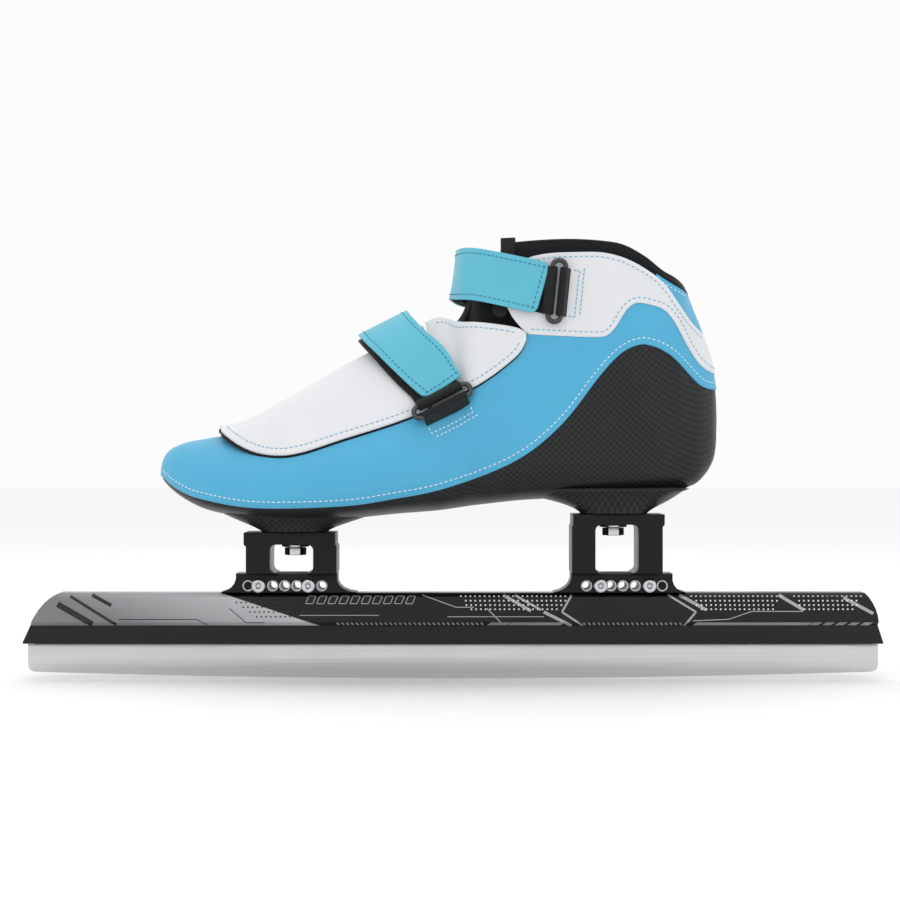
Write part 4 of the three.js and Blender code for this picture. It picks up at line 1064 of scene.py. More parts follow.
@dataclass
class Upper:
    """Shell, vamp, quarters, heel panel, collar, tongue and lining."""

    carbon_wall: float = 2.8
    pad_half: tuple[float, float] = (17, 18)  # along and across, where the cup meets it
    pad_spread: tuple[float, float] = (21, 8)  # how much wider it is where it runs into the sole
    pad_depth: float = 12
    pad_corner: float = 0.45
    seam_half: float = 1.6
    seam_thickness: float = 1.2
    roll_radius: float = 2.6
    roll_height: float = 1.4
    collar_depth: float = 4.2
    insole_thickness: float = 2.4
    tongue_half: float = 15.0
    tongue_thickness: float = 3.0

    def build(self) -> None:
        """Make and dress all of them."""
        self.carbon()
        self.vamp()
        self.quarters()
        self.heel_panel()
        self.heel_seam()
        self.collar()
        self.inside()
        self.stitching()

    def carbon(self) -> None:
        """Make the moulded shell and the two levelled pads under it."""
        panel = Panel("carbon_shell_skin", ALL_X, lambda x: 0 * x,
                      lambda x: FORM.up_at(x, height_on(SEAM, x) - 0.1),
                      0.0, -self.carbon_wall, over=Over.SOLE, radius=0.6, rows=110)
        dress(panel.build(), "carbon_weave", stands_for=["carbon_shell"])
        for word in ("front", "rear"):
            self.pad(word)

    def pad(self, word: str) -> None:
        """Make the flat carbon pad that a cup bolts to.

        Args:
            word: "front" or "rear".
        """
        x0 = bolt_place(word)
        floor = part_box(f"{word}_cup")[1].z / MM + 0.3
        angle = np.linspace(0, 2 * np.pi, 56, endpoint=False)
        c, s = np.cos(angle), np.sin(angle)
        ring_x = np.sign(c) * np.abs(c) ** self.pad_corner
        ring_y = np.sign(s) * np.abs(s) ** self.pad_corner
        rows = []
        for t in np.linspace(0, 1, 9):
            half, wide = (a + b * t**1.4 for a, b in zip(self.pad_half, self.pad_spread))
            x, y = x0 + half * ring_x, wide * ring_y
            inside = np.stack([x, y, np.full(56, floor + self.pad_depth)], -1)
            top = FORM.cast(inside, np.array([0, 0, -1.0]), 40)[:, 2]
            z = floor + (np.minimum(top, floor + self.pad_depth) + 0.6 - floor) * t**0.9
            rows.append(np.stack([x, y, z], -1))
        centre = np.array([[x0, 0, floor]])
        cap = [centre + (rows[0] - centre) * np.array([k, k, 1]) for k in (0.0, 0.5, 0.9, 0.985)]
        lip = rows[0] + np.array([0, 0, 0.6])
        lid = [rows[-1] + (np.array([x0, 0, 0]) - rows[-1]) * np.array([k, k, 0]) + [0, 0, 1.2]
               for k in (0.3, 1.0)]
        stack = np.array([*cap, lip, *rows[1:], *lid])
        stack = np.concatenate([stack, stack[:, :1]], axis=1)
        uv = np.stack([stack[..., 0] + 230, stack[..., 1]], -1).reshape(-1, 2)
        piece = new_object(f"carbon_pad_{word}", stack.reshape(-1, 3), grid_faces(*stack.shape[:2]), uv)
        dress(piece, "carbon_weave")

    def vamp(self) -> None:
        """Make the blue upper from the toe to the heel, with its throat open under the cover."""
        def low(x: Array) -> Array:
            """Follow the carbon's edge, a little over it."""
            return FORM.up_at(x, height_on(SEAM, x) - 1.0)

        def high(x: Array) -> Array:
            """Follow the crown, the throat, the back edge and the quarter."""
            top = np.where((x < -166) | (x > -50), 1.0, FORM.up_at_width(x, THROAT))
            back = FORM.up_at(x, np.where(x < -46, height_on(VAMP_BACK, x), height_on(QUARTER_LOW, x) + 2.5))
            return np.where(x < -166, 1.0, np.where(x < -96, top, np.minimum(top, back)))

        front = ALL_X[ALL_X <= -165.9]
        front = front[FORM.at(front)[:, 1] > height_on(SEAM, front) - 0.9]
        toe = Panel("vamp_toe", np.append(front, -165.5), low, lambda x: 0 * x + 1, 0.8, -0.9, lap=2.4,
                    radius=0.8, rows=90)
        pieces = [toe.build()]
        back = np.concatenate([[-166.5], ALL_X[ALL_X > -166.4]])
        back = back[FORM.at(back)[:, 1] > height_on(SEAM, back) - 0.9]
        for side in Side:
            wing = Panel("vamp_wing", back, low, high, 0.8, -0.9, sides=(side,), lap=2.4, radius=0.8,
                         rows=60)
            pieces.append(wing.build())
        whole = join("vamp_skin", pieces)
        dress(whole, "blue_microfibre", stands_for=["vamp_upper"])

    def quarters(self) -> None:
        """Make the white ankle quarters, one each side, meeting at the heel."""
        front = spline([(-43.1, 111.8), (-52, 106), (-56, 94), (-53, 83), (-45.2, 73.1)], 12)
        top = front[front[:, 1] >= 94][::-1]
        low = front[front[:, 1] <= 94]
        low_line = np.vstack([low, QUARTER_LOW[1:]])
        high_line = np.vstack([top, QUARTER_HIGH[1:]])
        x = np.unique(np.concatenate([-55.95 + 10 * np.linspace(0, 1, 14) ** 2, ALL_X[ALL_X > -46]]))
        x = x[FORM.at(x)[:, 1] > height_on(low_line, x) + 0.1]
        for side in Side:
            panel = Panel(f"ankle_quarter_skin_{side.word}", x,
                          lambda v: FORM.up_at(v, height_on(low_line, v)),
                          lambda v: FORM.up_at(v, height_on(high_line, v)),
                          1.6, -0.4, sides=(side,), lap=3.0, lap_level=0.85, radius=0.8, rows=44)
            dress(panel.build(), "white_microfibre",
                  stands_for=[f"ankle_quarter_{side.word}"])

    def heel_panel(self) -> None:
        """Make the blue panel over the heel's top, under the quarters' upper edge."""
        x = np.unique(np.concatenate([19 + 5 * np.linspace(0, 1, 8) ** 2, ALL_X[ALL_X > 24]]))
        x = x[x < 49]
        halves = [Panel("heel_panel_half", x, lambda v: FORM.up_at(v, height_on(QUARTER_HIGH, v) - 2.0),
                        lambda v: FORM.up_at(v, height_on(HEEL_TOP, v)), 1.4, -1.0, sides=(side,), radius=0.8,
                        rows=40).build() for side in Side]
        dress(join("heel_panel_skin", halves), "blue_microfibre",
              stands_for=["heel_panel"])

    def heel_seam(self) -> None:
        """Close the seam up the middle of the heel, level with the panels on each side."""
        for name, low, high, level, finish, slot in (
                ("heel_seam_carbon", 12.0, 47.6, 0.1, "carbon_weave", "carbon"),
                ("heel_seam_vamp", 46.8, 56.0, 0.7, "blue_microfibre", "blue_upper"),
                ("heel_seam_quarter", 54.4, 73.4, 1.5, "white_microfibre", "white_upper"),
                ("heel_seam_panel", 72.4, 91.4, 1.3, "blue_microfibre", "blue_upper")):
            z = np.linspace(low, high, 24)
            middle = FORM.cast(np.stack([0 * z + 20, 0 * z, z], -1), np.array([1.0, 0, 0]), 60)
            middle[:, 0] += level - self.seam_thickness / 2
            across = np.linspace(-self.seam_half, self.seam_half, 7)[:, None, None]
            centre = middle[None] + np.array([0, 1, 0]) * across
            dress(ribbon(name, centre, self.seam_thickness), finish)

    def collar(self) -> None:
        """Make the padded black collar, rolled over at its top."""
        x = np.unique(np.concatenate([-57.6 + 8 * np.linspace(0, 1, 10) ** 2,
                                      ALL_X[(ALL_X > -50) & (ALL_X < 35)], np.linspace(35, 36.5, 4)]))
        low = FORM.up_at(x, np.where(x < 22, height_on(QUARTER_HIGH, x) - 3, height_on(HEEL_TOP, x) - 3))
        high = FORM.up_at(x, height_on(COLLAR_TOP, x) - self.roll_height)
        closed = high > 0.999  # here the two sides meet
        f = np.linspace(0, 1, 14)[:, None]
        level = 0.6 - 0.3 * smooth_step((f - 0.7) / 0.3) + 0.5 * np.sin(np.pi * f) ** 2
        columns = []
        for side in Side:
            base = FORM.point(x[None], low + (np.maximum(high, low) - low) * f, side)
            normal = FORM.normals(base)
            base[-1, closed, 1] = FORM.inset(x[closed])
            normal[-1, closed, 1] = 0
            normal = unit_rows(normal)
            outside = base + normal * level[..., None]
            middle = outside[-1] - normal[-1] * self.roll_radius
            roll = [middle + normal[-1] * (self.roll_radius * math.cos(angle))
                    + np.array([0, 0, self.roll_height * math.sin(angle)])
                    for angle in np.linspace(0.25, 2.9, 9)]
            below = base[::-1] - normal[::-1] * self.collar_depth
            columns.append(np.concatenate([outside, np.array(roll), below]))
        loop = np.concatenate([columns[0], columns[1][:, ::-1][:, 1:]], axis=1)
        rows, cols = loop.shape[:2]
        along = lengths(loop[5][None])[0]
        uv = np.stack([np.broadcast_to(along, (rows, cols)), lengths_down(loop)], -1)
        faces = grid_faces(rows, cols, ring=True)
        faces += [[r * cols for r in range(rows)], [r * cols + cols - 1 for r in range(rows)]]
        piece = new_object("collar_roll", loop.reshape(-1, 3), faces, uv.reshape(-1, 2))
        dress(piece, "collar_knit", stands_for=["collar_padding"])
        tab = Panel("collar_loop", np.linspace(-57.5, -50.3, 12), lambda v: FORM.up_at(v, 111 + 0 * v),
                    lambda v: FORM.up_at(v, np.interp(v, [-57.5, -49], [121.0, 121.2])),
                    2.2, 1.0, sides=(Side.NEAR,), radius=0.5, ends=True, rows=14)
        dress(tab.build(), "nylon_webbing", stands_for=["collar_pull_tab"])

    def inside(self) -> None:
        """Make lining, insole and tongue."""
        def rim(x: Array) -> Array:
            """Follow the collar, then the throat."""
            top = FORM.up_at(x, height_on(COLLAR_TOP, x) - 4)
            throat = np.minimum(FORM.up_at_width(x, THROAT + 5), FORM.up_at(x, 100 + 0 * x))
            return np.where(x > -56, top, np.where(x < -166, 0.97, throat))

        x = ALL_X[(ALL_X > -226) & (ALL_X < 49.5)]
        lining = Panel("boot_lining_cloth", x, lambda v: 0 * v, rim, -3.1, -4.6, over=Over.SOLE,
                       radius=0.5, ends=True, rows=110)
        dress(lining.build(), "collar_knit", stands_for=["boot_lining"])
        x = np.linspace(-216, 44, 110)
        floor = FORM.at(x)[:, 0] + 5.3
        room = FORM.depth(np.stack([x, FORM.inset(x), floor], -1)) - 5.2
        half = np.maximum(room, 0.5) * np.sqrt(np.clip(1 - (np.abs(x + 86) / 131) ** 8, 0, 1))
        t = np.linspace(-1, 1, 25)[:, None]
        y = FORM.inset(x) + t * half
        z = floor + 2.5 + 2.2 * np.abs(t) ** 4
        top = np.stack([np.broadcast_to(x, y.shape), y, z], -1)
        bottom = top - np.array([0, 0, self.insole_thickness]) * rim_shares(top, 1.2, True)[..., None]
        uv = top[..., :2]
        dress(shell("insole_sheet", top, bottom, uv), "insole_felt", stands_for=["insole"])
        self.tongue()

    def tongue(self) -> None:
        """Make the padded tongue along the crown, from under the laces to above the collar."""
        crown = FORM.table[:, [0, 2]]
        line = crown[(crown[:, 0] > -160) & (crown[:, 0] < -60) & (crown[:, 1] < 113)]
        way = lengths(line[None])[0]
        at = np.linspace(0, way[-1], 90)
        x, z = np.interp(at, way, line[:, 0]), np.interp(at, way, line[:, 1])
        side = soften(np.stack([x, 0 * x, z], -1)[None], 4)[0]
        slope = unit_rows(np.gradient(side, axis=0))
        out = np.stack([-slope[:, 2], 0 * x, slope[:, 0]], -1)
        across = np.linspace(-1, 1, 21)[:, None, None]
        drop = 5.0 + 2.6 * across**2
        width = self.tongue_half - 2 * smooth_step((at - way[-1] + 30) / 30)
        centre = side[None] + across * np.array([0, 1.0, 0]) * width[None, :, None] - out[None] * drop
        piece = ribbon("tongue_pad", centre, self.tongue_thickness, 3.0, swell=0.8)
        dress(piece, "collar_knit", stands_for=["tongue"])

    def stitching(self) -> None:
        """Sew the rows that show on the panels."""
        seam = moved(cut(SEAM, -229, 50.2), 2.3)
        both = [on_form(seam, side, 0.9) for side in Side]
        REPEATER.row("seam_stitches", Kind.STITCH, both, 2.6, 1.9, 0.5, "white_thread")
        low = moved(cut(QUARTER_LOW, -45, 50), 2.6)
        high = moved(cut(QUARTER_HIGH, -43, 44), -2.6)
        rows = [on_form(line, side, 1.7) for line in (low, high) for side in Side]
        REPEATER.row("quarter_stitches", Kind.STITCH, rows, 2.6, 1.7, 0.5, "pale_blue_thread")
        top = moved(cut(HEEL_TOP, 14, 36), -2.4)
        REPEATER.row("heel_panel_stitches", Kind.STITCH, [on_form(top, side, 1.5) for side in Side],
                     2.4, 1.8, 0.5, "white_thread")


def bolt_place(word: str) -> float:
    """Give a mounting bolt's place along the boot, in millimetres."""
    low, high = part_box(f"mounting_bolt_{word}")
    return round((low.x + high.x) / 2 / MM, 1)


def join(name: str, parts: Sequence[Piece]) -> Piece:
    """Put meshes together as one piece.

    Args:
        name: The piece's name.
        parts: The pieces to put together; the first one stays.

    Returns:
        The piece.
    """
    work = bmesh.new()
    for part in parts:
        work.from_mesh(part.data)
    mesh = parts[0].data
    work.to_mesh(mesh)
    work.free()
    for part in parts[1:]:
        bpy.data.objects.remove(part)
    parts[0].name = name
    mesh.name = name
    return parts[0]


@dataclass
class LaceCover:
    """The white cover over the laces, its black lining, and the laces under it."""

    skin: tuple[float, float] = (2.9, 1.6)  # the outside and the inside, above the boot
    felt: tuple[float, float] = (1.5, 0.3)
    felt_past: float = 0.9  # how far the lining shows past the cover's lower edge
    split: float = -93.0  # behind this the cover is open along its middle
    lace_radius: float = 1.0
    lace_half: float = 14

    def build(self) -> None:
        """Make and dress them."""
        x = np.unique(np.concatenate([-201.5 + 12 * np.linspace(0, 1, 20) ** 2,
                                      ALL_X[(ALL_X > -189) & (ALL_X < -48)],
                                      -45.5 - 4 * np.linspace(1, 0, 8) ** 2]))
        x = x[FORM.at(x)[:, 1] > height_on(COVER_EDGE, x) + 0.1]

        def low(v: Array) -> Array:
            """Follow the lower edge."""
            return FORM.up_at(v, height_on(COVER_EDGE, v))

        def past(v: Array) -> Array:
            """Follow a line a little below the lower edge."""
            return FORM.up_at(v, height_on(COVER_EDGE, v) - self.felt_past)

        def high(v: Array) -> Array:
            """Follow the crown, then the back edge."""
            return np.where(v < self.split + 0.3, 1.0, FORM.up_at(v, height_on(COVER_BACK, v)))

        front, back = x[x <= self.split + 0.5], x[x >= self.split - 0.5]
        skins = []
        linings = []
        for places, sides in ((front, tuple(Side)), (back, (Side.NEAR,)), (back, (Side.FAR,))):
            skins.append(Panel("cover_part", places, low, high, *self.skin, sides=sides, radius=0.9,
                               rows=60, lift=cover_lift).build())
            linings.append(Panel("cover_lining_part", places, past, high, *self.felt, sides=sides,
                                 radius=0.7, rows=60, lift=cover_lift).build())
        dress(join("lace_cover_skin", skins), "white_microfibre",
              stands_for=["lace_cover"])
        dress(join("lace_cover_felt", linings), "collar_knit",
              stands_for=["lace_cover_lining"])
        edge = moved(cut(COVER_EDGE, -196, -46.5), 2.8)
        top = moved(cut(COVER_BACK, -88, -50), -2.8)
        rows = [on_form(line, side, 3.0, cover_lift) for line in (edge, top) for side in Side]
        REPEATER.row("cover_stitches", Kind.STITCH, rows, 2.6, 1.8, 0.5, "pale_blue_thread")
        self.laces()

    def laces(self) -> None:
        """Make the lace zigzag under the cover and the two webbing guides."""
        points = []
        for i in range(6):
            x = -152 + 10.4 * i
            side = 1 if i % 2 else -1
            for share in (0.0, 0.33, 0.67, 1.0):
                y = self.lace_half * side * (1 - 2 * share)
                crown = FORM.at(x + 8 * share)[1]
                inside = np.array([x + 8 * share, y, crown - 30])
                hit = FORM.cast(inside, np.array([0, 0, 1.0]), 80)
                points.append(hit + np.array([0, 0, 1.9]))
        path = spline(points, 6)
        dress(tube_along("lace_zigzag", path, self.lace_radius, 8), "lace_braid",
              stands_for=["laces"])
        for side in Side:
            low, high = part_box(f"lace_guide_{side.word}")
            line = np.linspace(low.x / MM + 0.3, high.x / MM - 0.3, 14)
            middle = (low.z + high.z) / 2 / MM
            half = (high.z - low.z) / 2 / MM * np.sqrt(np.clip(1 - np.linspace(-1, 1, 14) ** 2, 0, 1))
            bottom, top = middle - half, middle + half
            guide = Panel(f"lace_loop_{side.word}", line, lambda v, z=bottom: FORM.up_at(v, z),
                          lambda v, z=top: FORM.up_at(v, z), 1.6, 0.3, sides=(side,), radius=0.6, rows=12)
            dress(guide.build(), "nylon_webbing", stands_for=[f"lace_guide_{side.word}"])


# ---------------------------------------------------------------- straps and rings
@dataclass
class RingFrame:
    """Where a ring sits: its middle, its bars' direction, the way to the crown, and off the boot."""

    node: str
    centre: Array = field(init=False)
    bar: Array = field(init=False)
    rise: Array = field(init=False)
    normal: Array = field(init=False)

    def __post_init__(self) -> None:
        """Read the frame from the ring's solid."""
        points = np.array([v.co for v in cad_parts[self.node].data.vertices]) / MM
        self.centre = points.mean(0)
        around = points - self.centre
        _, axes = np.linalg.eigh(around.T @ around)
        self.bar, self.rise, self.normal = axes[:, 2], axes[:, 1], axes[:, 0]
        if self.normal[1] * self.centre[1] < 0:
            self.normal = -self.normal
        if self.rise[0] > 0 and self.rise[2] < 0.3:
            self.rise = -self.rise
        if self.rise[2] < 0 and abs(self.rise[2]) > 0.3:
            self.rise = -self.rise
        if self.bar[0] + self.bar[2] < 0:
            self.bar = -self.bar


@dataclass
class Strap:
    """A hook-and-loop strap: its two rings and tabs, the black webbing under it, and the blue flap."""

    word: str
    crest: tuple[float, float]
    tip: tuple[float, float]
    tip_slope: float
    crest_slope: float
    above: float
    lifted: bool
    bulge: float
    thread: str
    width: float = 26.0
    layer: float = 1.7
    webbing: float = 1.2
    wire: float = 1.25
    pitch: float = 6.4
    inside: float = 28.0
    reach: float = 32.0
    tab_run: float = 2.6  # from the bar to where the webbing goes in through the boot
    pile: float = 2.0  # the hooks and loops between the webbing and the flap
    corner: float = 3.5
    stitch_inset: float = 2.6
    bend_run: float = 7.0  # a length along the flap, in millimetres
    rings: dict[Side, RingFrame] = field(init=False)

    def __post_init__(self) -> None:
        """Find both rings."""
        self.rings = {side: RingFrame(f"{self.word}_ring_{side.word}") for side in Side}

    def lift(self, p: Array) -> Array:
        """More height over the lace cover, and where the strap bridges from side to side."""
        arch = self.bulge * (1 - smooth_step(np.abs(p[..., 1]) / 34))
        return arch + (cover_lift(p) * (1 + 1.6 / COVER_LIFT) if self.lifted else 0)

    def far_points(self, b: Array) -> Array:
        """Give the side-view points past the crown that the strap's lines run to."""
        along = np.subtract(self.crest, self.tip)
        along = along / np.linalg.norm(along)
        return np.array(self.crest) + self.reach * along + b[:, None] * unit(self.crest_slope)

    def crossing(self, start: Array, b: Array) -> Array:
        """Find where each line crosses the crown, side view."""
        ends = self.far_points(b)
        t = np.linspace(0, 1, 400)[None, :, None]
        points = start[:, None] + (ends - start)[:, None] * t
        above = points[..., 1] > FORM.at(points[..., 0])[..., 1]
        first = np.argmax(above, axis=1)
        return points[np.arange(len(b)), first]

    def half_lines(self, start: Array, crossing: Array, side: Side, count: int = 70) -> Array:
        """Run lines over the boot's side from start to the crown, shape (lines, points, 3)."""
        angle = np.linspace(np.pi / 2, 0, count)[None, :, None]
        origin = np.stack([start[:, 0], FORM.inset(start[:, 0]), start[:, 1]], -1)[:, None]
        up = np.stack([crossing[:, 0] - start[:, 0], 0 * start[:, 0], crossing[:, 1] - start[:, 1]], -1)
        up = unit_rows(up)[:, None]
        way = up * np.cos(angle) + np.array([0, side, 0.0]) * np.sin(angle)
        return FORM.cast(origin, way)

    def surface(self, near_start: Array, far_start: Array, b: Array) -> Array:
        """Run lines over the boot from the outer side to the inner side."""
        crossing = self.crossing(near_start, b)
        near = self.half_lines(near_start, crossing, Side.NEAR)
        far = self.half_lines(far_start, crossing, Side.FAR)[:, ::-1]
        return np.concatenate([near, far[:, 1:]], axis=1)

    def bar_line(self, side: Side, which: int, b: Array, out: float = 0.0) -> Array:
        """Give points on a ring's bar, or beside it, one for each line across."""
        ring = self.rings[side]
        middle = ring.centre + ring.rise * (which * self.pitch / 2 + out)
        return middle + ring.bar * b[:, None]

    def raised(self, base: Array, level: Array | float) -> Array:
        """Lift points off the boot, with the hollows and corners of the way evened out."""
        normal = soften(FORM.normals(base), 24)
        return soften(base + unit_rows(normal) * (level + self.lift(base))[..., None], 14)

    def build(self) -> None:
        """Make rings, tabs, webbing and flap."""
        for side in Side:
            self.ring(side)
            self.tab(side)
            self.tab_stitches(side)
        self.lower()
        self.upper()

    def ring(self, side: Side) -> None:
        """Bend the wire ring."""
        ring = self.rings[side]
        half, turn = self.inside / 2 + self.wire, self.pitch / 2
        corner = turn * 0.9
        path = []
        for sx, sy, start in ((1, 1, 0), (-1, 1, 90), (-1, -1, 180), (1, -1, 270)):
            for angle in np.radians(np.linspace(start, start + 90, 9)):
                x = sx * (half - corner) + corner * math.cos(angle)
                y = sy * (turn - corner) + corner * math.sin(angle)
                path.append(ring.centre + ring.bar * x + ring.rise * y)
        piece = tube_along(f"{self.word}_wire_{side.word}", np.array(path), self.wire, 12, closed=True)
        dress(piece, "black_wire", stands_for=[f"{self.word}_ring_{side.word}"])

    def loop(self, side: Side, which: int, b: Array, outward: int) -> Array:
        """Give the half turn of webbing round a bar, from the boot's side of it to the outside.

        Args:
            side: The ring's side.
            which: 1 for the bar nearer the crown, -1 for the other.
            b: Places along the bar.
            outward: Which way the turn bulges along the rise: -1 away from the crown.

        Returns:
            Lines of points, shape (lines, points, 3).
        """
        ring = self.rings[side]
        radius = self.wire + 0.3 + self.webbing / 2
        angle = np.radians(np.linspace(-90, 90, 13))[None, :, None]
        centre = self.bar_line(side, which, b)[:, None]
        return centre + radius * (np.cos(angle) * ring.rise * outward + np.sin(angle) * ring.normal)

    def returning(self, turn: Array, side: Side, base_level: float, run: float, towards: int) -> Array:
        """Carry the webbing on from a turn, back along the strap or the boot, down to a level."""
        ring = self.rings[side]
        last = turn[:, -1]
        steps = np.linspace(0, run, 9)[1:]
        made = []
        for step in steps:
            point = last + ring.rise * towards * step
            hit = FORM.cast(point - ring.normal * 26, np.broadcast_to(ring.normal, point.shape), 60)
            now = np.einsum("ij,j->i", point - hit, ring.normal)
            want = base_level + (now - base_level) * (1 - smooth_step(step / min(run, 5.5)))
            made.append(hit + ring.normal * want[:, None])
        return np.stack(made, axis=1)

    def tab(self, side: Side) -> None:
        """Make the webbing that holds the ring's lower bar to the boot."""
        b = spaced(self.width - 2, 1.6)
        turn = self.loop(side, -1, b, 1)
        down_out = self.returning(turn, side, 1.3, self.tab_run, -1)
        down_in = self.returning(turn[:, ::-1], side, 0.1, self.tab_run, -1)
        line = soften(np.concatenate([down_in[:, ::-1], turn, down_out], axis=1), 2)
        total = lengths(line)[:, -1]
        at = np.stack([np.linspace(0, 1, 60) * t for t in total])
        centre = resample(line, at)
        first = resample(line, np.stack([BORDER[1:]] * len(b)))
        last = resample(line, total[:, None] - BORDER[None, :0:-1])
        centre = np.concatenate([centre[:, :1], first, centre[:, 2:-2], last, centre[:, -1:]], axis=1)
        piece = ribbon(f"{self.word}_webbing_tab_{side.word}", centre, self.webbing, 0.5)
        dress(piece, "nylon_webbing", stands_for=[f"{self.word}_ring_tab_{side.word}"])

    def tab_stitches(self, side: Side) -> None:
        """Sew the webbing's hidden end to the boot: a box and a second row."""
        ring = self.rings[side]
        down = self.pitch / 2 + self.wire + 0.8 + self.tab_run
        half = self.width / 2 - 1.5
        box = [(-half, 0), (-half, 2.4), (half, 2.4), (half, 0)]
        row = [(-half + 2, 4.8), (half + 1, 4.8)]
        lines = []
        for corners in (box, row):
            line = np.array(corners, float)
            way = lengths(line[None])[0]
            at = np.arange(0, way[-1], 0.7)
            b, drop = np.interp(at, way, line[:, 0]), np.interp(at, way, line[:, 1])
            point = ring.centre + ring.bar * b[:, None] - ring.rise * (down + drop)[:, None]
            hit = FORM.cast(point - ring.normal * 26, np.broadcast_to(ring.normal, point.shape), 60)
            lines.append(hit + ring.normal * (0.95 if self.lifted else 1.75))
        REPEATER.row(f"{self.word}_tab_stitches_{side.word}", Kind.STITCH, lines, 2.1, 1.7, 0.5, self.thread)

    def lower(self) -> None:
        """Make the black layer that runs over the boot and round the upper bar of each ring."""
        b = spaced(self.width - 2, 1.6)
        base = self.surface(*(self.bar_line(side, 1, b, 0.5)[:, [0, 2]] for side in Side), b)
        total = lengths(base)[:, -1]
        at = np.stack([np.linspace(0, 1, 110) * t for t in total])
        main = self.raised(resample(base, at), self.above + self.webbing / 2)
        near, far = (self.loop(side, 1, b, -1) for side in Side)
        level = self.above + self.pile + self.webbing / 2
        back_near = self.returning(near, Side.NEAR, level, 3.0, 1)[:, ::-1]
        back_far = self.returning(far, Side.FAR, level, 3.0, 1)[:, :3]
        line = np.concatenate([back_near, near[:, ::-1], main[:, 3:-3], far, back_far], axis=1)
        line = soften(line, 3)
        marks = np.stack([bordered(0, total, 150) for total in lengths(line)[:, -1]])
        piece = ribbon(f"{self.word}_webbing", resample(line, marks), self.webbing, 0.5)
        dress(piece, "nylon_webbing", stands_for=[f"{self.word}_strap_lower"])

    def upper(self) -> None:
        """Make the blue flap with its round corners and stitched edge."""
        half = self.width / 2
        b = spaced(self.width, 1.5)
        near = np.array(self.tip) + b[:, None] * unit(self.tip_slope)
        far = self.bar_line(Side.FAR, 1, b, 2.5)[:, [0, 2]]
        base = self.surface(near, far, b)
        level = self.above + self.pile + self.layer / 2
        evenly = np.linspace(0, 1, 150)[None] * lengths(base)[:, -1:]
        sheet = self.straighten(self.raised(resample(base, evenly), level), b)
        over = np.clip(np.abs(b) - (half - self.corner), 0, self.corner)
        start = self.corner - np.sqrt(self.corner**2 - over**2)
        marks = np.stack([bordered(s, t, 130) for s, t in zip(start, lengths(sheet)[:, -1])])
        piece = ribbon(f"{self.word}_flap", resample(sheet, marks), self.layer, 0.5)
        dress(piece, "strap_microfibre", body="", stands_for=[f"{self.word}_strap_upper"])
        self.bend(piece)
        self.flap_stitches(b, sheet)

    def bend(self, piece: Piece) -> None:
        """Bake a piece's place into its mesh."""
        f"{self.word}_strap"
        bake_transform(piece)

    def straighten(self, grid: Array, b: Array) -> Array:
        """Keep the strap nearly straight across its width, as stiff cloth is.

        Args:
            grid: Lines along the strap, shape (lines, points, 3).
            b: Each line's place across the width.

        Returns:
            The evened lines.
        """
        fit = np.stack([b * 0 + 1, b, b**2], -1)
        flat = grid.reshape(len(b), -1)
        even = (fit @ np.linalg.lstsq(fit, flat, rcond=None)[0]).reshape(grid.shape)
        return grid * 0.15 + even * 0.85

    def flap_stitches(self, b: Array, sheet: Array) -> None:
        """Sew round the flap's edge, a little way in.

        Args:
            b: Each line's place across the width.
            sheet: The flap's middle lines.
        """
        inset = self.stitch_inset
        normal = unit_rows(np.cross(np.gradient(sheet, axis=0), np.gradient(sheet, axis=1)))
        if normal[0, 0, 1] > 0:
            normal = -normal
        top = sheet + normal * (self.layer / 2 + 0.1)
        total = lengths(top)[:, -1]
        edges = (inset - self.width / 2, self.width / 2 - inset)
        first, last = (int(np.argmin(np.abs(b - place))) for place in edges)
        lines = [resample(top[row][None], np.arange(inset, total[row] - inset, 0.8)[None])[0]
                 for row in (first, last)]
        lines.append(resample(top[first:last + 1], np.full((last + 1 - first, 1), inset))[:, 0])
        piece = REPEATER.row(f"{self.word}_flap_stitches", Kind.STITCH, lines, 2.4, 1.7, 0.45,
                             "dark_blue_thread", body="")
        self.bend(piece)


# ---------------------------------------------------------------- cups, towers, screws, blade
def machined(node: str, name: str, edge: float, angle: float = 28) -> Piece:
    """Copy a CAD solid as a machined part: clean faces and broken edges.

    Args:
        node: The CAD node.
        name: The new piece's name.
        edge: Width of the broken edge in millimetres.
        angle: Faces that meet more sharply than this get one.

    Returns:
        The new piece.
    """
    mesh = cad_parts[node].data.copy()
    mesh.name = name
    work = bmesh.new()
    work.from_mesh(mesh)
    bmesh.ops.remove_doubles(work, verts=work.verts, dist=2e-6)
    bmesh.ops.dissolve_limit(work, angle_limit=math.radians(2), verts=work.verts, edges=work.edges)
    sharp = [e for e in work.edges if len(e.link_faces) == 2 and e.calc_face_angle(0) > math.radians(angle)]
    bmesh.ops.bevel(work, geom=sharp, offset=edge * MM, segments=2, profile=0.5, affect="EDGES",
                    clamp_overlap=True)
    bmesh.ops.recalc_face_normals(work, faces=work.faces)
    work.to_mesh(mesh)
    work.free()
    made = bpy.data.objects.new(name, mesh)
    bpy.context.scene.collection.objects.link(made)
    mesh.polygons.foreach_set("use_smooth", [True] * len(mesh.polygons))
    mesh.set_sharp_from_angle(angle=math.radians(40))
    return made


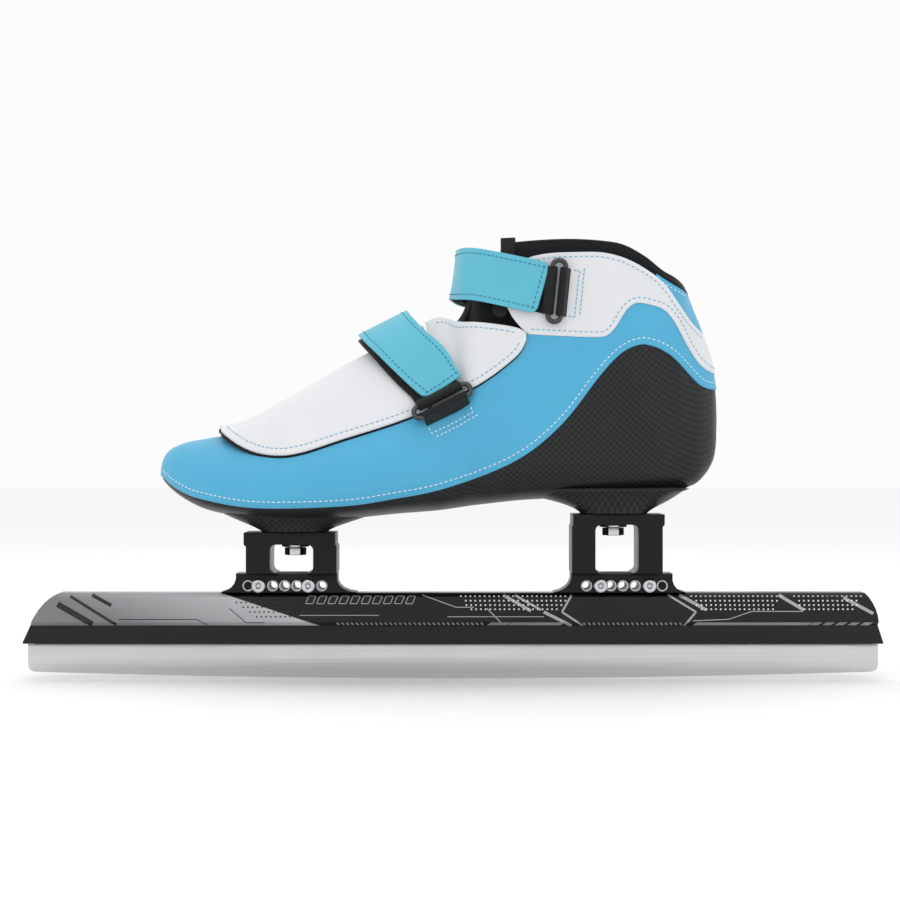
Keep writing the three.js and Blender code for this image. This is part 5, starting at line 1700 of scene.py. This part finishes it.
def turned_part(name: str, profile: Sequence[tuple[float, float]], at: Array, way: Array, sides: int = 28
                ) -> Piece:
    """Turn a profile of (radius, height) round an axis.

    Args:
        name: The piece's name.
        profile: Radius and height of each ring, from one end of the axis to the other.
        at: Where the axis starts.
        way: The axis's direction.
        sides: Sides of each ring.

    Returns:
        The turned piece.
    """
    way = way / np.linalg.norm(way)
    first = unit_rows(np.cross(way, [0.1, 0.2, 0.97] if abs(way[2]) < 0.9 else [1.0, 0, 0]))
    second = np.cross(way, first)
    angle = np.linspace(0, 2 * np.pi, sides + 1)
    ring = np.cos(angle)[:, None] * first + np.sin(angle)[:, None] * second
    grid = np.array([at + h * way + r * ring for r, h in profile])
    return new_object(name, grid.reshape(-1, 3), grid_faces(len(profile), sides + 1))


@dataclass
class Undercarriage:
    """Cups, towers, bolts, screws, tube and steel."""

    screws: dict[str, tuple[float, ...]] = field(default_factory=lambda: {
        "front": (-18.1, 7), "rear": (-6.9, 17.8)})
    open_holes: dict[str, tuple[float, ...]] = field(default_factory=lambda: {
        "front": (-11, -4.9, 1.2, 13.8), "rear": (-14, -1.7, 4.4, 10.6)})
    blind: dict[str, float] = field(default_factory=lambda: {"front": -23.4, "rear": 24.2})
    level: float = -52.5
    tower_half: float = 9.0

    def build(self) -> None:
        """Make and dress them."""
        for word in ("front", "rear"):
            self.part(f"{word}_cup", "machined", 0.5, "black_anodised", "black_aluminium")
            self.part(f"{word}_tower", "machined", 0.35, "black_anodised", "black_aluminium")
            for name, edge in (("mounting_bolt", 0.35), ("mounting_washer", 0.2), ("sole_block", 0.5)):
                self.part(f"{name}_{word}", "plated", edge, "zinc_plate", "bolt_steel", "boot")
            self.side_hardware(word)
        self.part("blade_tube", "extruded", 0.4, "printed_anodised", "printed_tube")
        for end in ("toe", "heel"):
            self.part(f"tube_plug_{end}", "moulded", 0.6, "plug_rubber", "end_plug")
        self.part("blade_runner", "ground", 0.15, "brushed_steel", "runner_steel")

    def part(self, node: str, made: str, edge: float, finish: str, slot: str, body: str = "blade") -> None:
        """Dress a CAD solid as one machined or moulded part.

        Args:
            node: The CAD node.
            made: How it is made, the end of the new piece's name.
            edge: Width of its broken edges in millimetres.
            finish: The name of its finish.
            slot: Not used.
            body: The CAD body it moves with.
        """
        dress(machined(node, f"{node}_{made}", edge), finish, body, [node])

    def side_hardware(self, word: str) -> None:
        """Make the side screws, their nuts and the bright rims of the open holes."""
        middle = bolt_place(word)
        face = self.tower_half + 0.02
        for i, place in enumerate(self.screws[word], 1):
            node = f"{word}_side_screw_{i}"
            profile = [(0, 0.5), (1.3, 0.5), (1.35, 1.75), (2.7, 1.95), (3.3, 1.6), (3.6, 0.9), (3.65, 0.0),
                       (2.1, 0.0), (2.1, -17.5), (1.8, -18), (0, -18)]
            at = np.array([middle + place, -self.tower_half - 0.3, self.level])
            head = turned_part(f"{node}_turned", profile, at, np.array([0, -1.0, 0]))
            dress(head, "zinc_plate", "blade", [node])
            self.part(f"{word}_side_nut_{i}", "plated", 0.3, "zinc_plate", "bolt_steel")
        rims = []
        profile = [(2.05, -0.5), (2.15, 0.12), (2.75, 0.12), (2.95, -0.05), (2.6, -0.4), (2.05, -0.5)]
        holes = [(place, tuple(Side)) for place in self.open_holes[word]] + [(self.blind[word], (Side.NEAR,))]
        for place, faces in holes:
            for side in faces:
                at = np.array([middle + place, side * face, self.level])
                rims.append(turned_part("rim", profile, at, np.array([0, float(side), 0]), 24))
        dress(join(f"{word}_hole_rims", rims), "turned_edge", "blade")


@dataclass
class TubePrint:
    """The printed bars, slashes and dots on the tube's sides; plain shapes, no letters."""

    half: float = 8.0
    folds: tuple[float, float] = (-58.2, -71.0)  # between these the side is flat
    proud: float = 0.07  # how thick the ink is
    band: tuple[float, float] = (-72.7, -71.1)  # the low line of bars

    def side_at(self, z: Array) -> Array:
        """How far out the tube's side is at a height."""
        return np.interp(z, [-73, -71, -58.2, -56.2], [5.0, self.half, self.half, 6.0])

    def flat_shapes(self, name: str, shapes: Sequence[Sequence[Point]], finish: str) -> None:
        """Print closed outlines on both sides of the tube.

        Args:
            name: The piece's name.
            shapes: Outlines (x, z), convex.
            finish: The ink.
        """
        parts = []
        for side in Side:
            work = bmesh.new()
            for shape in shapes:
                work.faces.new([work.verts.new((x * MM, 0, z * MM)) for x, z in shape])
            for z in self.folds:
                bmesh.ops.bisect_plane(work, geom=[*work.verts, *work.edges, *work.faces], dist=1e-7,
                                       plane_co=(0, 0, z * MM), plane_no=(0, 0, 1))
            solid = bmesh.ops.extrude_face_region(work, geom=list(work.faces))
            outer = {item for item in solid["geom"] if isinstance(item, bmesh.types.BMVert)}
            for vert in work.verts:
                proud = self.proud if vert in outer else -0.1
                vert.co.y = side * (float(self.side_at(vert.co.z / MM)) + proud) * MM
            bmesh.ops.recalc_face_normals(work, faces=work.faces)
            mesh = bpy.data.meshes.new(name)
            work.to_mesh(mesh)
            work.free()
            parts.append(bpy.data.objects.new(name, mesh))
        made = join(name, parts)
        bpy.context.scene.collection.objects.link(made)
        dress(made, finish, "blade")

    def stroke(self, a: Point, b: Point, width: float) -> list[Point]:
        """Outline a straight stroke from a to b."""
        p, q = np.array(a), np.array(b)
        way = (q - p) / np.linalg.norm(q - p)
        off = np.array([-way[1], way[0]]) * width / 2
        return [tuple(v) for v in (p + off, p - off, q - off, q + off)]

    def slanted(self, x0: float, x1: float, z0: float, z1: float, slant: float) -> list[Point]:
        """Outline a bar whose ends lean."""
        return [(x0, z0), (x1, z0), (x1 + slant, z1), (x0 + slant, z1)]

    def dot_lines(self, x: Array, z: float) -> list[Array]:
        """Place a row of dots on both sides of the tube."""
        out = self.side_at(np.array(z)) + 0.06
        return [np.stack([x, np.full(len(x), side * out), np.full(len(x), z)], -1) for side in Side]

    def build(self) -> None:
        """Print everything."""
        silver: list[Any] = []
        for x0, x1 in ((-64.3, -54.1), (-53.6, -26.9), (39.9, 98.4)):
            silver.append(self.slanted(x0, x1, *self.band, 2))
        silver += [self.slanted(99 + 6.4 * i, 103.4 + 6.4 * i, *self.band, 2) for i in range(5)]
        for a, b, w in (((-56, -57.3), (-42, -65.3), 1.5), ((-50.2, -57.3), (-37, -64.8), 1.1),
                        ((-35.6, -65.8), (-21.5, -72.8), 1.5), ((33, -57.2), (46.7, -64.8), 1.6),
                        ((83.3, -57.3), (95.9, -64.8), 1.6), ((115.9, -58.5), (131, -66.6), 1.6),
                        ((-21.5, -57.3), (-26.4, -65.8), 1.0), ((-26.4, -65.8), (-15.7, -72.8), 1.0),
                        ((27.3, -57.2), (41.4, -65.8), 1.0), ((41.4, -65.8), (35.5, -72.8), 1.0),
                        ((39.9, -70.3), (57.9, -69.5), 0.4), ((57.9, -69.5), (69.6, -65.5), 0.4),
                        ((69.6, -65.5), (95.4, -65.5), 0.4), ((-159, -67.5), (-119, -67.5), 0.35),
                        ((-84.3, -68.2), (-35.6, -68.2), 0.35), ((-97, -57.2), (-92, -59), 0.4),
                        ((-92, -59), (-80, -63.4), 0.4), ((-80, -63.4), (-71, -63.4), 0.4),
                        ((-64.3, -64), (-57, -71.4), 0.5)):
            silver.append(self.stroke(a, b, w))
        for x0, x1 in ((-139.8, -64.9), (-15, 36)):
            silver += [self.slanted(x, x + 1.1, -72.6, -71.2, -0.9) for x in np.arange(x0, x1, 2.43)]
        for x in np.arange(-156, -104, 5.6):  # a row of plain outlined blocks
            block = self.slanted(x, x + 3.6, -61.6, -57.8, 1.6)
            silver += [self.stroke(a, b, 0.35) for a, b in zip(block, [*block[1:], block[0]])]
        self.flat_shapes("silver_bars", silver, "silver_ink")
        black: list[Any] = []
        for a, b, w in (((-281.5, -61.8), (-264, -72.0), 3.0), ((-275, -57.8), (-252, -72.3), 1.4),
                        ((-264, -57.2), (-254.3, -62.5), 1.8), ((-250.5, -69.6), (-211, -69.6), 0.4),
                        ((-211, -69.6), (-205.8, -72.6), 0.4), ((-194.6, -64), (-186, -71.3), 0.4),
                        ((-186, -71.3), (-176.7, -71.3), 0.4)):
            black.append(self.stroke(a, b, w))
        self.flat_shapes("black_slashes", black, "black_ink")
        dots: list[Array] = []
        for x0, x1 in ((-77.5, -23), (39, 84.7), (91, 115), (108, 126)):
            for row, z in enumerate((-57.9, -60.1, -62.3, -64.4)):
                start = x0 + 1.1 * (row % 2) + 1.4 * row
                dots += self.dot_lines(np.arange(start, x1 - 1.2 * row, 2.4), z)
        REPEATER.row("white_dots", Kind.DOT, dots, 1, 0.12, 0.45, "white_ink", "blade")
        dark: list[Array] = []
        for row, z in enumerate((-61, -63.4, -65.8, -68.2)):
            dark += self.dot_lines(np.arange(-191 + 3.4 * row, -163 + 7.0 * row - 5, 2.4), z)
        REPEATER.row("dark_dots", Kind.DOT, dark, 1, 0.12, 0.45, "black_ink", "blade")


# ---------------------------------------------------------------- studio
@dataclass
class Studio:
    """The camera, the soft lights and the pale floor."""

    eye: tuple[float, float, float] = (-0.083, -1.2, 0.0161)
    lens: float = 94.3
    floor_level: float = -0.1002
    floor_half: float = 6.0
    surround: float = 0.97  # strength of the white room

    def build(self) -> None:
        """Set them up."""
        camera = bpy.data.objects.new("camera", bpy.data.cameras.new("camera"))
        camera.location = self.eye
        camera.rotation_euler = (math.pi / 2, 0, 0)
        camera.data.lens = self.lens
        camera.data.sensor_width = 36
        camera.data.clip_start = 0.01
        bpy.context.scene.collection.objects.link(camera)
        bpy.context.scene.camera = camera
        for name, place, size, power, target in (
            ("key_light", (-0.5, -1.1, 1.1), 0.9, 2.2, (-0.08, 0, 0.02)),
            ("fill_light", (0.8, -1.0, 0.5), 0.8, 0.6, (-0.05, 0, 0)),
            ("top_light", (-0.1, 0.1, 1.3), 1.2, 2.5, (-0.08, 0, 0)),
            ("back_light", (-0.2, 1.2, 0.8), 1.0, 1.0, (-0.08, 0, 0)),
        ):
            data = bpy.data.lights.new(name, "AREA")
            data.size = size
            data.energy = power
            light = bpy.data.objects.new(name, data)
            light.location = place
            light.rotation_euler = (Vector(target) - Vector(place)).to_track_quat("-Z", "Y").to_euler()
            bpy.context.scene.collection.objects.link(light)
        world = bpy.data.worlds.new("studio")
        world.use_nodes = True
        background = world.node_tree.nodes["Background"]
        background.inputs[0].default_value = to_linear("#FFFFFF")
        background.inputs[1].default_value = self.surround
        bpy.context.scene.world = world
        mesh = bpy.data.meshes.new("floor")
        corners = [(x * self.floor_half, y * self.floor_half, self.floor_level)
                   for x, y in ((-1, -1), (1, -1), (1, 1), (-1, 1))]
        mesh.from_pydata(corners, [], [(0, 1, 2, 3)])
        floor = bpy.data.objects.new("floor", mesh)
        floor.data.materials.append(SHELF.get("studio_floor"))
        bpy.context.scene.collection.objects.link(floor)
        bpy.context.scene.view_settings.view_transform = "Standard"


def write_sizes() -> None:
    """Bring the scene's placements up to date."""
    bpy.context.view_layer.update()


def main() -> None:
    """Build the studio and the skate, piece by piece."""
    logging.basicConfig(level=logging.INFO, format="%(message)s")
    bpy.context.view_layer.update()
    Studio().build()
    Upper().build()
    LaceCover().build()
    Strap("instep", (-122, 75), (-83.6, 45.4), 31, 34, 3.8, True, 4.5, "white_thread").build()
    Strap("ankle", (-80.1, 105.2), (-37.0, 95.4), 74, 68, 1.5, False, 1.5, "pale_blue_thread").build()
    Undercarriage().build()
    TubePrint().build()
    write_sizes()


if __name__ == "__main__":
    main()
